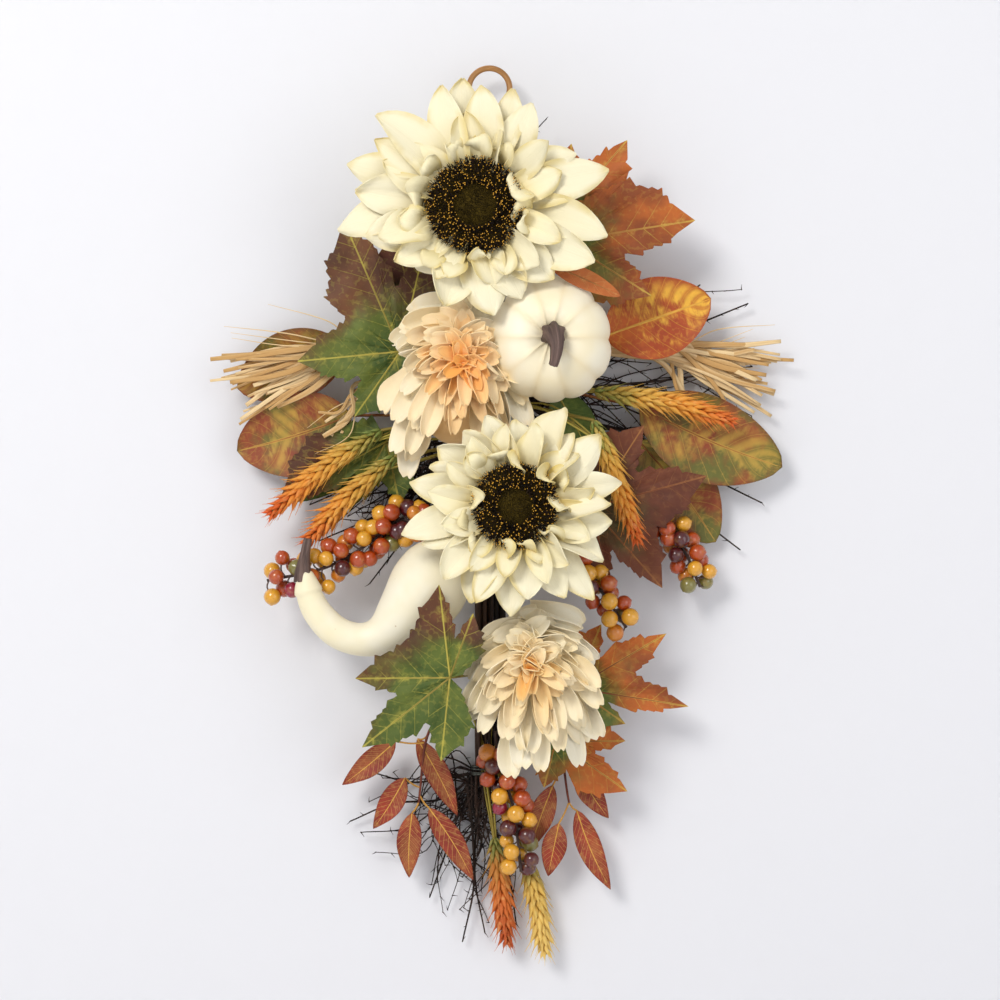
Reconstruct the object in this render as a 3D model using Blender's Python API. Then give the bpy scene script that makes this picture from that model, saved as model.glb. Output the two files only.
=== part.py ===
"""A harvest door swag: a bundle of twigs hangs from a wooden ring by a wire loop, and
flowers, a pumpkin, a gourd, berries, wheat, leaves and raffia are wired on to its front.

Sizes are in millimetres and become metres as each mesh is made. The origin is where the hook
touches the ring, inside its top. +Z is up, the front looks along -Y, and the door is at +Y.
"""

import math

import bmesh
import bpy
from mathutils import Vector

UNIT = 0.001

# The whole swag. Places are shares of these two, in hundredths.
SWAG_LENGTH = 540.0  # from the hook seat down to the lowest ear of wheat
SWAG_HALF_WIDTH = 182.0  # from the middle to the raffia and the widest leaf
GAP = 0.4  # between pieces that meet

# The ring and the loop of wire that it carries
RING_OUTER_RADIUS = 14.3
RING_SECTION_RADIUS = 1.95
LOOP_WIRE_RADIUS = 0.7
LOOP_PLAY = 1.0  # between the loop and the ring's section

# The core
CORE_TOP_BELOW_RING = 8.0
CORE_BACK = 14.0
CORE_FRONT = 0.0
CORE_HALF_WIDTH = 11.0
NECK_HALF_WIDTH = 5.5
NECK_LENGTH = 15.0
EYE_DROP = 6.0
EYE_RADIUS = 1.5
BINDING_RADIUS = 0.8
BINDING_AT = (0.10, 0.52, 0.93)  # shares of the core's length

# Flowers, from the door forward
SUNFLOWER_BACK = -57.0
SUNFLOWER_LIFT = 9.0  # how far the petal tips stand forward of their root
UPPER_DISC_RADIUS = 30.0
LOWER_DISC_RADIUS = 26.0
DISC_DEPTH = 17.0
DISC_TO_PETALS = 4.0
UPPER_REACH = (80.0, 64.0)  # across and upright
LOWER_REACH = (64.0, 63.0)
LOWER_SUNFLOWER_FORWARD = 10.0
PETAL_THICKNESS = 1.8
FLOWER_STEM_RADIUS = 1.9
DAHLIA_BACK = -18.0
DAHLIA_DEPTH = 42.0
UPPER_DAHLIA_HALF = (44.0, 58.0)
LOWER_DAHLIA_HALF = (43.0, 50.0)

# The pumpkin and the gourd
PUMPKIN_RADIUS = 37.5
PUMPKIN_HALF_HEIGHT = 29.0
PUMPKIN_MIDDLE = -39.0
PUMPKIN_RIBS = 10
PUMPKIN_RIB_DEPTH = 1.6
PUMPKIN_STEM_RADIUS = 4.2
GOURD_MIDDLE = -31.0
GOURD_BODY_RADIUS = 24.5
GOURD_NECK_RADIUS = 9.6
GOURD_END_RADIUS = 7.6
PICK_RADIUS = 1.5

# Leaves, berries, wheat, raffia and twigs
LEAF_THICKNESS = 0.9
PETIOLE_HALF_WIDTH = 1.2
SINUS = 0.5  # of the shorter lobe beside it, from the leaf's junction
SHOULDER = 0.62  # where a lobe is widest, as a share of its length
LOBE_HALF_WIDTH = 0.21  # of a lobe's length
LEAF_BASE = 5.0  # how far a lobed leaf reaches past its junction
LEAF_CAMBER = 1.1  # how far its middle stands forward of its edge
BERRY_RADIUS = 4.6
BERRY_STEM_RADIUS = 0.9
WHEAT_RADIUS = 6.2
STRAW_RADIUS = 1.2
RAFFIA_HALF_WIDTH = 1.8
RAFFIA_HALF_THICKNESS = 0.5
TWIG_RADIUS = 0.8

# Colour, roughness and metallic value of each finish
FINISHES = {
    "ring_wood": ((0.44, 0.21, 0.07), 0.55, 0.0),
    "wire": ((0.12, 0.09, 0.07), 0.45, 0.8),
    "twig": ((0.020, 0.012, 0.010), 0.85, 0.0),
    "cream_petal": ((0.88, 0.80, 0.58), 0.80, 0.0),
    "seed_disc": ((0.014, 0.008, 0.005), 0.95, 0.0),
    "green_stem": ((0.06, 0.10, 0.03), 0.60, 0.0),
    "peach_petal": ((0.94, 0.60, 0.32), 0.80, 0.0),
    "ivory_petal": ((0.90, 0.78, 0.56), 0.80, 0.0),
    "pumpkin_skin": ((0.93, 0.86, 0.62), 0.45, 0.0),
    "gourd_skin": ((0.90, 0.84, 0.60), 0.45, 0.0),
    "dry_stem": ((0.14, 0.08, 0.07), 0.75, 0.0),
    "berry_skin": ((0.60, 0.22, 0.05), 0.30, 0.0),
    "wheat_ear": ((0.68, 0.26, 0.06), 0.70, 0.0),
    "maple_leaf": ((0.22, 0.08, 0.04), 0.65, 0.0),
    "magnolia_leaf": ((0.15, 0.11, 0.03), 0.60, 0.0),
    "mottled_leaf": ((0.55, 0.20, 0.04), 0.60, 0.0),
    "green_leaf": ((0.06, 0.10, 0.02), 0.65, 0.0),
    "willow_leaf": ((0.28, 0.06, 0.03), 0.60, 0.0),
    "raffia_straw": ((0.70, 0.48, 0.24), 0.75, 0.0),
}

TURN = 2 * math.pi


def place(across, down, y):
    """A point from its shares of the half width and of the length, and its depth."""
    return Vector((across / 100 * SWAG_HALF_WIDTH, y, -down / 100 * SWAG_LENGTH))


def finish(slot):
    """The Principled material of this name, made the first time it is asked for."""
    material = bpy.data.materials.get(slot)
    if material:
        return material
    colour, roughness, metallic = FINISHES[slot]
    material = bpy.data.materials.new(slot)
    material.use_nodes = True
    shader = material.node_tree.nodes["Principled BSDF"]
    shader.inputs["Base Color"].default_value = (*colour, 1)
    shader.inputs["Roughness"].default_value = roughness
    shader.inputs["Metallic"].default_value = metallic
    material.diffuse_color = (*colour, 1)
    return material


def add(name, bm, slot, parent, smooth=True):
    """The finished object of a bmesh whose points are in millimetres of the swag's frame."""
    bmesh.ops.recalc_face_normals(bm, faces=bm.faces)
    origin = Vector(parent["origin_mm"]) if parent else Vector((0, 0, 0))
    for vertex in bm.verts:
        vertex.co = (vertex.co - origin) * UNIT
    mesh = bpy.data.meshes.new(name)
    bm.to_mesh(mesh)
    bm.free()
    if smooth:
        mesh.shade_smooth()
        mesh.set_sharp_from_angle(angle=math.radians(40))
    mesh.materials.append(finish(slot))
    piece = bpy.data.objects.new(name, mesh)
    bpy.context.collection.objects.link(piece)
    piece.parent = parent
    return piece


def pivot(name, at):
    """An empty that its body's pieces are parented to, on the joint's axis."""
    empty = bpy.data.objects.new(name, None)
    empty.location = at * UNIT
    empty["origin_mm"] = tuple(at)
    empty.empty_display_size = 0.02
    bpy.context.collection.objects.link(empty)
    bpy.context.view_layer.update()
    return empty


def add_rings(bm, rings, closed=False):
    """A skin over rings of points with equal counts: capped at both ends, or closed on itself."""
    made = [[bm.verts.new(point) for point in ring] for ring in rings]
    sides = len(made[0])
    pairs = list(zip(made, made[1:] + made[:1] if closed else made[1:]))
    for first, second in pairs:
        for i in range(sides):
            j = (i + 1) % sides
            bm.faces.new((first[i], first[j], second[j], second[i]))
    if not closed:
        bm.faces.new(made[0][::-1])
        bm.faces.new(made[-1])


def smooth_path(points, steps):
    """Points along a Catmull-Rom curve through the given ones."""
    ends = [2 * points[0] - points[1], *points, 2 * points[-1] - points[-2]]
    path = []
    for a, b, c, d in zip(ends, ends[1:], ends[2:], ends[3:]):
        for step in range(steps):
            t = step / steps
            bend = (2 * a - 5 * b + 4 * c - d) * t**2 + (3 * b - a - 3 * c + d) * t**3
            path.append(0.5 * (2 * b + (c - a) * t + bend))
    return path + [points[-1]]


def add_tube(bm, path, radii, sides=6, closed=False, flatness=1.0):
    """A tube along a path. Its section is a circle, or an oval flattened along Y."""
    count = len(path)
    side = None
    rings = []
    for i, centre in enumerate(path):
        before = path[i - 1] if closed or i else path[0]
        after = path[(i + 1) % count] if closed or i < count - 1 else path[-1]
        along = (after - before).normalized()
        if side is None:
            side = along.cross(Vector((0, 1, 0)) if abs(along.y) < 0.9 else Vector((0, 0, 1)))
        side = (side - along * side.dot(along)).normalized()
        up = along.cross(side)
        radius = radii[i] if isinstance(radii, (list, tuple)) else radii
        ring = []
        for k in range(sides):
            angle = TURN * (k + 0.5) / sides
            ring.append(centre + radius * (math.cos(angle) * side + flatness * math.sin(angle) * up))
        rings.append(ring)
    add_rings(bm, rings, closed)


def tube(name, path, radii, slot, parent, sides=6, closed=False):
    bm = bmesh.new()
    add_tube(bm, path, radii, sides, closed)
    return add(name, bm, slot, parent)


def fuse(name, bm, first, slot, parent):
    """One body from overlapping shapes: those in bm and those in first."""
    piece = add(name, bm, slot, parent)
    helper = add(name + "_helper", first, slot, parent)
    joined = piece.modifiers.new("Join", "BOOLEAN")
    joined.operation = "UNION"
    joined.solver = "EXACT"
    joined.use_self = True
    joined.object = helper
    graph = bpy.context.evaluated_depsgraph_get()
    mesh = bpy.data.meshes.new_from_object(piece.evaluated_get(graph))
    piece.modifiers.clear()
    piece.data = mesh
    bpy.data.objects.remove(helper)
    return piece


def thicken(piece, thickness):
    """Gives a sheet its thickness, half to each side."""
    solid = piece.modifiers.new("Thickness", "SOLIDIFY")
    solid.thickness = thickness * UNIT
    solid.offset = 0
    return piece


# ---------------------------------------------------------------- ring, loop and core

RING_MIDDLE_RADIUS = RING_OUTER_RADIUS - RING_SECTION_RADIUS
RING_CENTRE = Vector((0, 0, RING_SECTION_RADIUS - RING_MIDDLE_RADIUS))
SWING_AXIS = RING_CENTRE - Vector((0, 0, RING_MIDDLE_RADIUS))
CORE_TOP = SWING_AXIS.z - RING_SECTION_RADIUS - CORE_TOP_BELOW_RING
CORE_BOTTOM = place(0, 84, 0).z
EYE_Z = CORE_TOP - EYE_DROP
NECK_BACK = CORE_BACK - 5.0
NECK_FRONT = CORE_FRONT + 2.0


def hanging_ring(parent):
    path = []
    for i in range(28):
        angle = TURN * i / 28
        path.append(RING_CENTRE + RING_MIDDLE_RADIUS * Vector((math.sin(angle), 0, math.cos(angle))))
    tube("hanging_ring", path, RING_SECTION_RADIUS, "ring_wood", parent, 8, closed=True)


def hanging_wire(parent):
    """The loop runs over the ring's lower side and through the eye in the core's neck."""
    reach = RING_SECTION_RADIUS + LOOP_PLAY + LOOP_WIRE_RADIUS
    stand = LOOP_WIRE_RADIUS + 2 * GAP
    front = NECK_FRONT - stand
    back = NECK_BACK + stand
    path = []
    for i in range(9):
        angle = math.pi * i / 8
        path.append(SWING_AXIS + reach * Vector((0, -math.cos(angle), math.sin(angle))))
    path.append(Vector((0, back - 1.0, CORE_TOP + 1.0)))
    path.append(Vector((0, back, CORE_TOP - 2.0)))
    path.append(Vector((0, back, EYE_Z + 1.0)))
    path.append(Vector((0, back - 1.0, EYE_Z)))
    path.append(Vector((0, front + 1.0, EYE_Z)))
    path.append(Vector((0, front, EYE_Z + 1.0)))
    path.append(Vector((0, front, CORE_TOP - 2.0)))
    path.append(Vector((0, front - 0.6, CORE_TOP + 1.0)))
    tube("hanging_wire", path, LOOP_WIRE_RADIUS, "wire", parent, 6, closed=True)


def core_ring(z, half_width, back, front):
    """A level section of the core: flat at the back, rounded at the front."""
    middle = (back + front) / 2
    shape = ((-0.7, back), (0.7, back), (1, middle), (0.8, front + 2.0), (0.4, front))
    points = [Vector((x * half_width, y, z)) for x, y in shape]
    return points + [Vector((-x * half_width, y, z)) for x, y in reversed(shape[2:])]


def binding_levels():
    return [CORE_TOP + share * (CORE_BOTTOM - CORE_TOP) for share in BINDING_AT]


def twig_core(parent):
    """The flat back is cut in where a turn of wire lies, so that the wire stays off the door."""
    groove = 2 * BINDING_RADIUS + GAP
    neck_bottom = CORE_TOP - NECK_LENGTH
    rings = [
        core_ring(CORE_TOP, NECK_HALF_WIDTH, NECK_BACK, NECK_FRONT),
        core_ring(neck_bottom, NECK_HALF_WIDTH, NECK_BACK, NECK_FRONT),
        core_ring(neck_bottom - 6.0, CORE_HALF_WIDTH, CORE_BACK, CORE_FRONT),
    ]
    for level in binding_levels():
        wide = (CORE_HALF_WIDTH, CORE_BACK, CORE_FRONT)
        narrow = (CORE_HALF_WIDTH - groove, CORE_BACK - groove, CORE_FRONT + groove)
        for offset, section in ((3.5, wide), (1.5, narrow), (-1.5, narrow), (-3.5, wide)):
            rings.append(core_ring(level + offset, *section))
    rings.append(core_ring(CORE_BOTTOM, CORE_HALF_WIDTH - 2.0, CORE_BACK, CORE_FRONT + 2.0))
    bm = bmesh.new()
    add_rings(bm, rings)
    core = add("twig_core", bm, "twig", parent)
    cutter = bmesh.new()
    add_tube(cutter, [Vector((0, NECK_FRONT - 5, EYE_Z)), Vector((0, NECK_BACK + 5, EYE_Z))], EYE_RADIUS, 10)
    eye = add("eye_cutter", cutter, "twig", parent)
    eye.hide_render = True
    eye.display_type = "WIRE"
    cut = core.modifiers.new("Eye", "BOOLEAN")
    cut.operation = "DIFFERENCE"
    cut.solver = "EXACT"
    cut.object = eye


def binding_wires(parent):
    """Each turn lies in its groove, clear of the core all round."""
    narrowed = 2 * BINDING_RADIUS + GAP
    room = GAP + BINDING_RADIUS
    for name, level in zip(("top", "middle", "bottom"), binding_levels()):
        back = CORE_BACK - narrowed + room
        front = CORE_FRONT + narrowed - room
        path = core_ring(level, CORE_HALF_WIDTH - narrowed + room, back, front)
        tube(f"binding_wire_{name}", path, BINDING_RADIUS, "wire", parent, 6, closed=True)


# ---------------------------------------------------------------- flowers


def add_dome(bm, centre, half, back, depth, sides, rows, wave=0.0, lobes=1):
    """A dome on a flat back, standing forward. Its rim can be waved into lobes."""
    rings = []
    for row in range(rows):
        angle = math.pi / 2 * row / rows
        out, forward = math.cos(angle), math.sin(angle)
        ring = []
        for i in range(sides):
            turn = TURN * i / sides
            reach = out * (1 + wave * math.cos(lobes * turn))
            x = centre.x + half[0] * reach * math.sin(turn)
            z = centre.z + half[1] * reach * math.cos(turn)
            ring.append(Vector((x, back - depth * forward, z)))
        rings.append(ring)
    add_rings(bm, rings)


def corolla(name, centre, hole, disc_radius, reach, petals, back, parent):
    """A ring of petals cut from one sheet, dished forward, with a hole for the stem."""
    bm = bmesh.new()
    steps = 4
    count = petals * steps
    rings = [[], [], [], []]
    for i in range(count):
        turn = TURN * i / count
        wave = 0.5 + 0.5 * math.cos(petals * turn)
        outer = 0.76 + 0.24 * wave
        shape = (
            (hole, hole, 0.0),
            (disc_radius, disc_radius, 0.12),
            (0.6 * reach[0], 0.6 * reach[1], 0.55),
            (outer * reach[0], outer * reach[1], 1.0),
        )
        for ring, (across, upright, lift) in zip(rings, shape):
            x = centre.x + across * math.sin(turn)
            z = centre.z + upright * math.cos(turn)
            ring.append(bm.verts.new((x, back - SUNFLOWER_LIFT * lift, z)))
    for inner, outer_ring in zip(rings, rings[1:]):
        for i in range(count):
            j = (i + 1) % count
            bm.faces.new((inner[i], inner[j], outer_ring[j], outer_ring[i]))
    thicken(add(name, bm, "cream_petal", parent), PETAL_THICKNESS)


def bent_path(start, head, end_y):
    """A path that leaves the core sideways and meets the back of a head squarely."""
    bend = Vector((head.x, start.y + 0.5 * (end_y - start.y), head.z))
    return smooth_path([start, bend], 3) + [Vector((head.x, end_y, head.z))]


def flower_stem(name, start_across, head, back, parent):
    """A wire stem from the core's front to the back of a flower's head."""
    start = Vector((start_across, CORE_FRONT - GAP - FLOWER_STEM_RADIUS, head.z))
    tube(name, bent_path(start, head, back + 2 * GAP), FLOWER_STEM_RADIUS, "green_stem", parent, 6)


def sunflower(name, at, reach, disc_radius, petals, forward, parent):
    back = SUNFLOWER_BACK - forward
    head = place(*at, 0)
    hole = FLOWER_STEM_RADIUS + 6.0
    corolla(f"{name}_petals", head, hole, disc_radius, reach, petals, back, parent)
    bm = bmesh.new()
    disc_back = back - DISC_TO_PETALS
    add_dome(bm, head, (disc_radius, disc_radius), disc_back, DISC_DEPTH, 24, 5)
    add(f"{name}_disc", bm, "seed_disc", parent)
    flower_stem(f"{name}_stem", math.copysign(4.0, head.x), head, disc_back, parent)


def dahlia(name, at, half, slot, parent, cutter=None):
    head = place(*at, 0)
    bm = bmesh.new()
    add_dome(bm, head, half, DAHLIA_BACK, DAHLIA_DEPTH, 32, 5, wave=0.05, lobes=8)
    piece = add(f"{name}_petals", bm, slot, parent)
    if cutter:
        cut = piece.modifiers.new("Room", "BOOLEAN")
        cut.operation = "DIFFERENCE"
        cut.solver = "EXACT"
        cut.object = cutter
    flower_stem(f"{name}_stem", math.copysign(4.0, head.x), head, DAHLIA_BACK, parent)


# ---------------------------------------------------------------- pumpkin and gourd


def pumpkin_rings(head, room):
    """The pumpkin's skin, ribbed round its axis, which points forward. Room makes it larger."""
    rows, sides = 9, 4 * PUMPKIN_RIBS
    rings = []
    for row in range(rows):
        angle = math.pi * (0.08 + 0.84 * row / (rows - 1))
        ring = []
        for i in range(sides):
            turn = TURN * i / sides
            rib = PUMPKIN_RIB_DEPTH * (1 - abs(math.cos(PUMPKIN_RIBS / 2 * turn))) ** 2
            radius = (PUMPKIN_RADIUS + room) * math.sin(angle) ** 0.8 - rib * math.sin(angle)
            depth = (PUMPKIN_HALF_HEIGHT + room) * math.cos(angle)
            ring.append(head + Vector((radius * math.sin(turn), depth, radius * math.cos(turn))))
        rings.append(ring)
    return rings


def pumpkin(parent):
    head = place(19.5, 30.6, PUMPKIN_MIDDLE)
    bm = bmesh.new()
    add_rings(bm, pumpkin_rings(head, 0))
    add("pumpkin_body", bm, "pumpkin_skin", parent)
    front = PUMPKIN_MIDDLE - PUMPKIN_HALF_HEIGHT * math.cos(0.08 * math.pi)
    root = Vector((head.x + 2.0, front - GAP, head.z + 2.0))
    bend = root + Vector((0.5, -6.0, -1.0))
    droop = root + Vector((2.0, -9.5, -9.0))
    end = root + Vector((1.0, -8.0, -19.0))
    path = [root, root + Vector((0, -1.5, 0)), *smooth_path([bend, droop, end], 3)]
    radii = [PUMPKIN_STEM_RADIUS * (1.35 - 0.9 * i / (len(path) - 1)) for i in range(len(path))]
    tube("pumpkin_stem", path, radii, "dry_stem", parent, 8)
    behind = PUMPKIN_MIDDLE + PUMPKIN_HALF_HEIGHT * math.cos(0.08 * math.pi)
    start = Vector((5.0, CORE_FRONT - GAP - PICK_RADIUS, head.z))
    tube("pumpkin_pick", bent_path(start, head, behind + GAP), PICK_RADIUS, "dry_stem", parent)
    room = bmesh.new()
    add_rings(room, pumpkin_rings(head, 1.2))
    cutter = add("pumpkin_room", room, "pumpkin_skin", parent)
    cutter.hide_render = True
    cutter.display_type = "WIRE"
    return cutter


def gourd(parent):
    """A bulb with a neck that runs down and round, and rises to its dry stem."""
    y = GOURD_MIDDLE
    spine = [
        place(-13.5, 53.6, y),
        place(-16.5, 55.6, y),
        place(-21.0, 58.3, y),
        place(-28.0, 61.0, y),
        place(-35.0, 62.9, y),
        place(-42.0, 63.4, y),
        place(-49.5, 62.6, y),
        place(-55.5, 60.6, y),
        place(-58.6, 58.4, y),
        place(-59.6, 56.6, y),
    ]
    sizes = (0.45, 0.86, 1.0, 0.72)
    radii = [GOURD_BODY_RADIUS * size for size in sizes] + [GOURD_NECK_RADIUS * 1.15]
    radii += [GOURD_NECK_RADIUS] * 2 + [GOURD_NECK_RADIUS * 0.92, GOURD_END_RADIUS, GOURD_END_RADIUS * 0.75]
    path = smooth_path(spine, 2)
    sampled = []
    for first, second in zip(radii, radii[1:]):
        sampled += [first, (first + second) / 2]
    tube("gourd_body", path, sampled + [radii[-1]], "gourd_skin", parent, 14)
    top = spine[-1]
    away = (spine[-1] - spine[-2]).normalized()
    foot = top + away * GAP * 2
    stem = smooth_path([foot, foot + Vector((0, 0, 9.0)), foot + Vector((1.5, 0, 22.0))], 3)
    tube("gourd_stem", stem, [4.0 - 2.4 * i / 6 for i in range(7)], "dry_stem", parent, 6)
    body = spine[2]
    start = Vector((-5.0, CORE_FRONT - GAP - PICK_RADIUS, body.z))
    behind = GOURD_MIDDLE + GOURD_BODY_RADIUS
    tube("gourd_pick", [start, Vector((body.x + 4.0, behind + 4.0, body.z))], PICK_RADIUS, "dry_stem", parent)


# ---------------------------------------------------------------- berries, wheat, raffia, twigs


def add_ball(bm, centre, radius):
    made = bmesh.ops.create_icosphere(bm, subdivisions=1, radius=radius)
    bmesh.ops.translate(bm, verts=made["verts"], vec=centre)


def berry_cluster(name, route, count, spread, parent):
    """Berries wind round a stem, each on a short stalk of its own. The stem is bare at its root."""
    path = smooth_path(route, 6)
    stem = bmesh.new()
    add_tube(stem, path, BERRY_STEM_RADIUS, 5)
    bm = bmesh.new()
    golden_turn = math.radians(137.5)
    bare = 6
    for i in range(count):
        t = bare + (i + 0.5) / count * (len(path) - 1 - bare)
        start = path[int(t)].lerp(path[min(int(t) + 1, len(path) - 1)], t % 1)
        along = (path[min(int(t) + 1, len(path) - 1)] - path[int(t)]).normalized()
        side = along.cross(Vector((0, 1, 0))).normalized()
        out = math.cos(i * golden_turn) * side * spread + math.sin(i * golden_turn) * Vector((0, 2.6, 0))
        centre = start + out
        add_ball(bm, centre, BERRY_RADIUS)
        if out.length > BERRY_RADIUS:
            add_tube(bm, [start, centre], BERRY_STEM_RADIUS * 0.8, 4)
    fuse(name, bm, stem, "berry_skin", parent)


def wheat(name, root, base, tip, parent):
    """An ear on its straw. The grains swell in rings, and the ear narrows to its tip."""
    swells = 7
    path = [root, root.lerp(base, 0.5), base]
    radii = [STRAW_RADIUS, STRAW_RADIUS, STRAW_RADIUS]
    for i in range(2 * swells + 1):
        t = (i + 0.5) / (2 * swells + 1)
        taper = min(1.0, 0.55 + 1.6 * t) * min(1.0, 2.4 * (1.02 - t))
        swell = 1.0 if i % 2 == 0 else 0.78
        path.append(base.lerp(tip, t))
        radii.append(max(STRAW_RADIUS, WHEAT_RADIUS * taper * swell))
    path.append(tip)
    radii.append(STRAW_RADIUS * 0.7)
    tube(name, path, radii, "wheat_ear", parent, 6)


def strands(name, root, tips, sag, slot, parent, half_width, flatness):
    """Strands that leave one root and spread to their tips."""
    knot = bmesh.new()
    add_ball(knot, root, 3.2 if flatness < 1 else 1.9)
    bm = bmesh.new()
    for tip in tips:
        middle = root.lerp(tip, 0.5) + Vector((0, 0, sag))
        add_tube(bm, smooth_path([root, middle, tip], 2), half_width, 4, flatness=flatness)
    fuse(name, bm, knot, slot, parent)


# ---------------------------------------------------------------- leaves


def sweep(first, second, sense):
    """The turn from one direction to another, seen from the front, in this sense."""
    angle = math.atan2(second.z, second.x) - math.atan2(first.z, first.x)
    return (sense * angle) % TURN


def base_points(junction, first, second, sense):
    """Points that carry the outline round the junction where two directions are far apart."""
    turn = sweep(first, second, sense)
    count = int(4 * turn / TURN)
    start = math.atan2(first.z, first.x)
    angles = [start + sense * turn * (i + 1) / (count + 1) for i in range(count)]
    return [junction + LEAF_BASE * Vector((math.cos(a), 0, math.sin(a))) for a in angles]


def lobe_half_width(reach, beside):
    """A lobe is narrower where another lobe, or the stalk, is close beside it."""
    nearest = min(1.0, *(reach.angle(other) for other in beside))
    return min(LOBE_HALF_WIDTH, SHOULDER * math.tan(0.42 * nearest)) * reach.length


def lobed_leaf(name, junction, lobes, root, lean, parent):
    """A leaf with pointed lobes, whose tips come in order round its junction, and a stalk."""
    reaches = [tip - junction for tip in lobes]
    sense = 1 if sum(a.x * b.z - a.z * b.x for a, b in zip(reaches, reaches[1:])) > 0 else -1
    stalk = (root - junction).normalized()
    outline = base_points(junction, stalk, reaches[0], sense)
    for i, reach in enumerate(reaches):
        length = reach.length
        along = reach.normalized()
        across = Vector((-along.z, 0, along.x)) * sense
        if i:
            before = reaches[i - 1]
            middle = (before.normalized() + along).normalized()
            outline.append(junction + middle * SINUS * min(before.length, length))
        shoulder = junction + along * SHOULDER * length
        out = across * lobe_half_width(reach, [*reaches[max(i - 1, 0) : i], *reaches[i + 1 : i + 2], stalk])
        outline += [shoulder - out, junction + reach, shoulder + out]
    outline += base_points(junction, reaches[-1], stalk, sense)
    bm = bmesh.new()
    centre = bm.verts.new(junction - Vector((0, LEAF_CAMBER, 0)))
    ring = [bm.verts.new(point) for point in outline]
    for vertex in ring:
        vertex.co.y += lean[0] * (vertex.co.x - junction.x) + lean[1] * (vertex.co.z - junction.z)
    beside = Vector((stalk.z, 0, -stalk.x)).normalized() * PETIOLE_HALF_WIDTH * sense
    foot = junction + stalk * 3 * PETIOLE_HALF_WIDTH
    for point in (foot + beside, root + beside, root - beside, foot - beside):
        ring.append(bm.verts.new(point))
    for first, second in zip(ring[:-4], ring[1:-3]):
        bm.faces.new((centre, first, second))
    bm.faces.new((centre, ring[-4], ring[-1]))
    bm.faces.new(ring[-4:])
    bm.faces.new((centre, ring[-1], ring[0]))
    thicken(add(name, bm, "maple_leaf", parent, smooth=False), LEAF_THICKNESS)


def blade(name, base, tip, half_width, slot, root, parent):
    """An oval leaf with a fold along its midrib, and a narrow stalk to its root."""
    rows = 8
    fold = 1.5
    along = tip - base
    across = along.cross(Vector((0, 1, 0))).normalized()
    stations = [(root, PETIOLE_HALF_WIDTH, 0.0)]
    for i in range(rows + 1):
        t = i / rows
        width = half_width * math.sin(math.pi * min(1.0, t**0.85)) ** 0.75
        width = max(width, PETIOLE_HALF_WIDTH * (1 - 0.6 * t))
        stations.append((base + along * t, width, fold * width / half_width))
    bm = bmesh.new()
    strips = []
    for centre, width, depth in stations:
        raised = Vector((0, -depth, 0))
        points = (centre - across * width + raised, centre, centre + across * width + raised)
        strips.append([bm.verts.new(point) for point in points])
    for first, second in zip(strips, strips[1:]):
        for i in range(2):
            bm.faces.new((first[i], first[i + 1], second[i + 1], second[i]))
    thicken(add(name, bm, slot, parent, smooth=False), LEAF_THICKNESS)


def willow_spray(name, stem_route, leaves, parent):
    """Narrow leaves on one branching stem, joined into one body."""
    path = smooth_path(stem_route, 4)
    stem = bmesh.new()
    add_tube(stem, path, 0.9, 5)
    bm = bmesh.new()
    for share, base, tip in leaves:
        start = path[round(share * (len(path) - 1))]
        add_tube(bm, [start, base.lerp(tip, 0.12)], 0.7, 4)
        add_lens(bm, base, tip, 7.0)
    fuse(name, bm, stem, "willow_leaf", parent)


def add_lens(bm, base, tip, half_width):
    """A flat closed leaf: rings along it, wide across and thin in depth."""
    rows = 5
    rings = []
    across = (tip - base).cross(Vector((0, 1, 0))).normalized()
    for i in range(rows + 1):
        t = (i + 0.12) / (rows + 0.24)
        width = half_width * math.sin(math.pi * t) ** 0.8
        thin = LEAF_THICKNESS * 0.6
        centre = base.lerp(tip, t)
        deep = Vector((0, thin, 0))
        rings.append([centre - across * width, centre - deep, centre + across * width, centre + deep])
    add_rings(bm, rings)


# ---------------------------------------------------------------- the whole swag


def flowers(parent, pumpkin_room):
    sunflower("sunflower_upper", (-4.4, 16.6), UPPER_REACH, UPPER_DISC_RADIUS, 14, 0, parent)
    sunflower(
        "sunflower_lower", (8.3, 48.7), LOWER_REACH, LOWER_DISC_RADIUS, 13, LOWER_SUNFLOWER_FORWARD, parent
    )
    dahlia("dahlia_upper", (-11.0, 36.3), UPPER_DAHLIA_HALF, "peach_petal", parent, pumpkin_room)
    dahlia("dahlia_lower", (14.5, 69.6), LOWER_DAHLIA_HALF, "ivory_petal", parent)


def berries(parent):
    """Each cluster's route starts at the core, then its count and its spread follow."""
    clusters = {
        "berries_left": (
            [
                (-5, 49, -4), (-20, 50.6, -19), (-30, 50.4, -19),
                (-40, 53, -19), (-54, 55.6, -19), (-73, 57, -19),
            ],
            24,
            9.0,
        ),
        "berries_middle": ([(5.5, 53.0, -4), (24, 54.5, -22), (35, 57.5, -22), (45, 62.2, -22)], 12, 6.5),
        "berries_right": ([(6.6, 47.5, -4), (54, 50.2, -4), (64, 53.4, -4), (70, 57.8, -4)], 11, 6.0),
        "berries_bottom": ([(2, 74, -3), (3, 77, -10.4), (8, 82.5, -10.4), (10.5, 89.5, -10.4)], 15, 7.0),
    }
    for name, (route, count, spread) in clusters.items():
        berry_cluster(name, [place(*point) for point in route], count, spread, parent)


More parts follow.
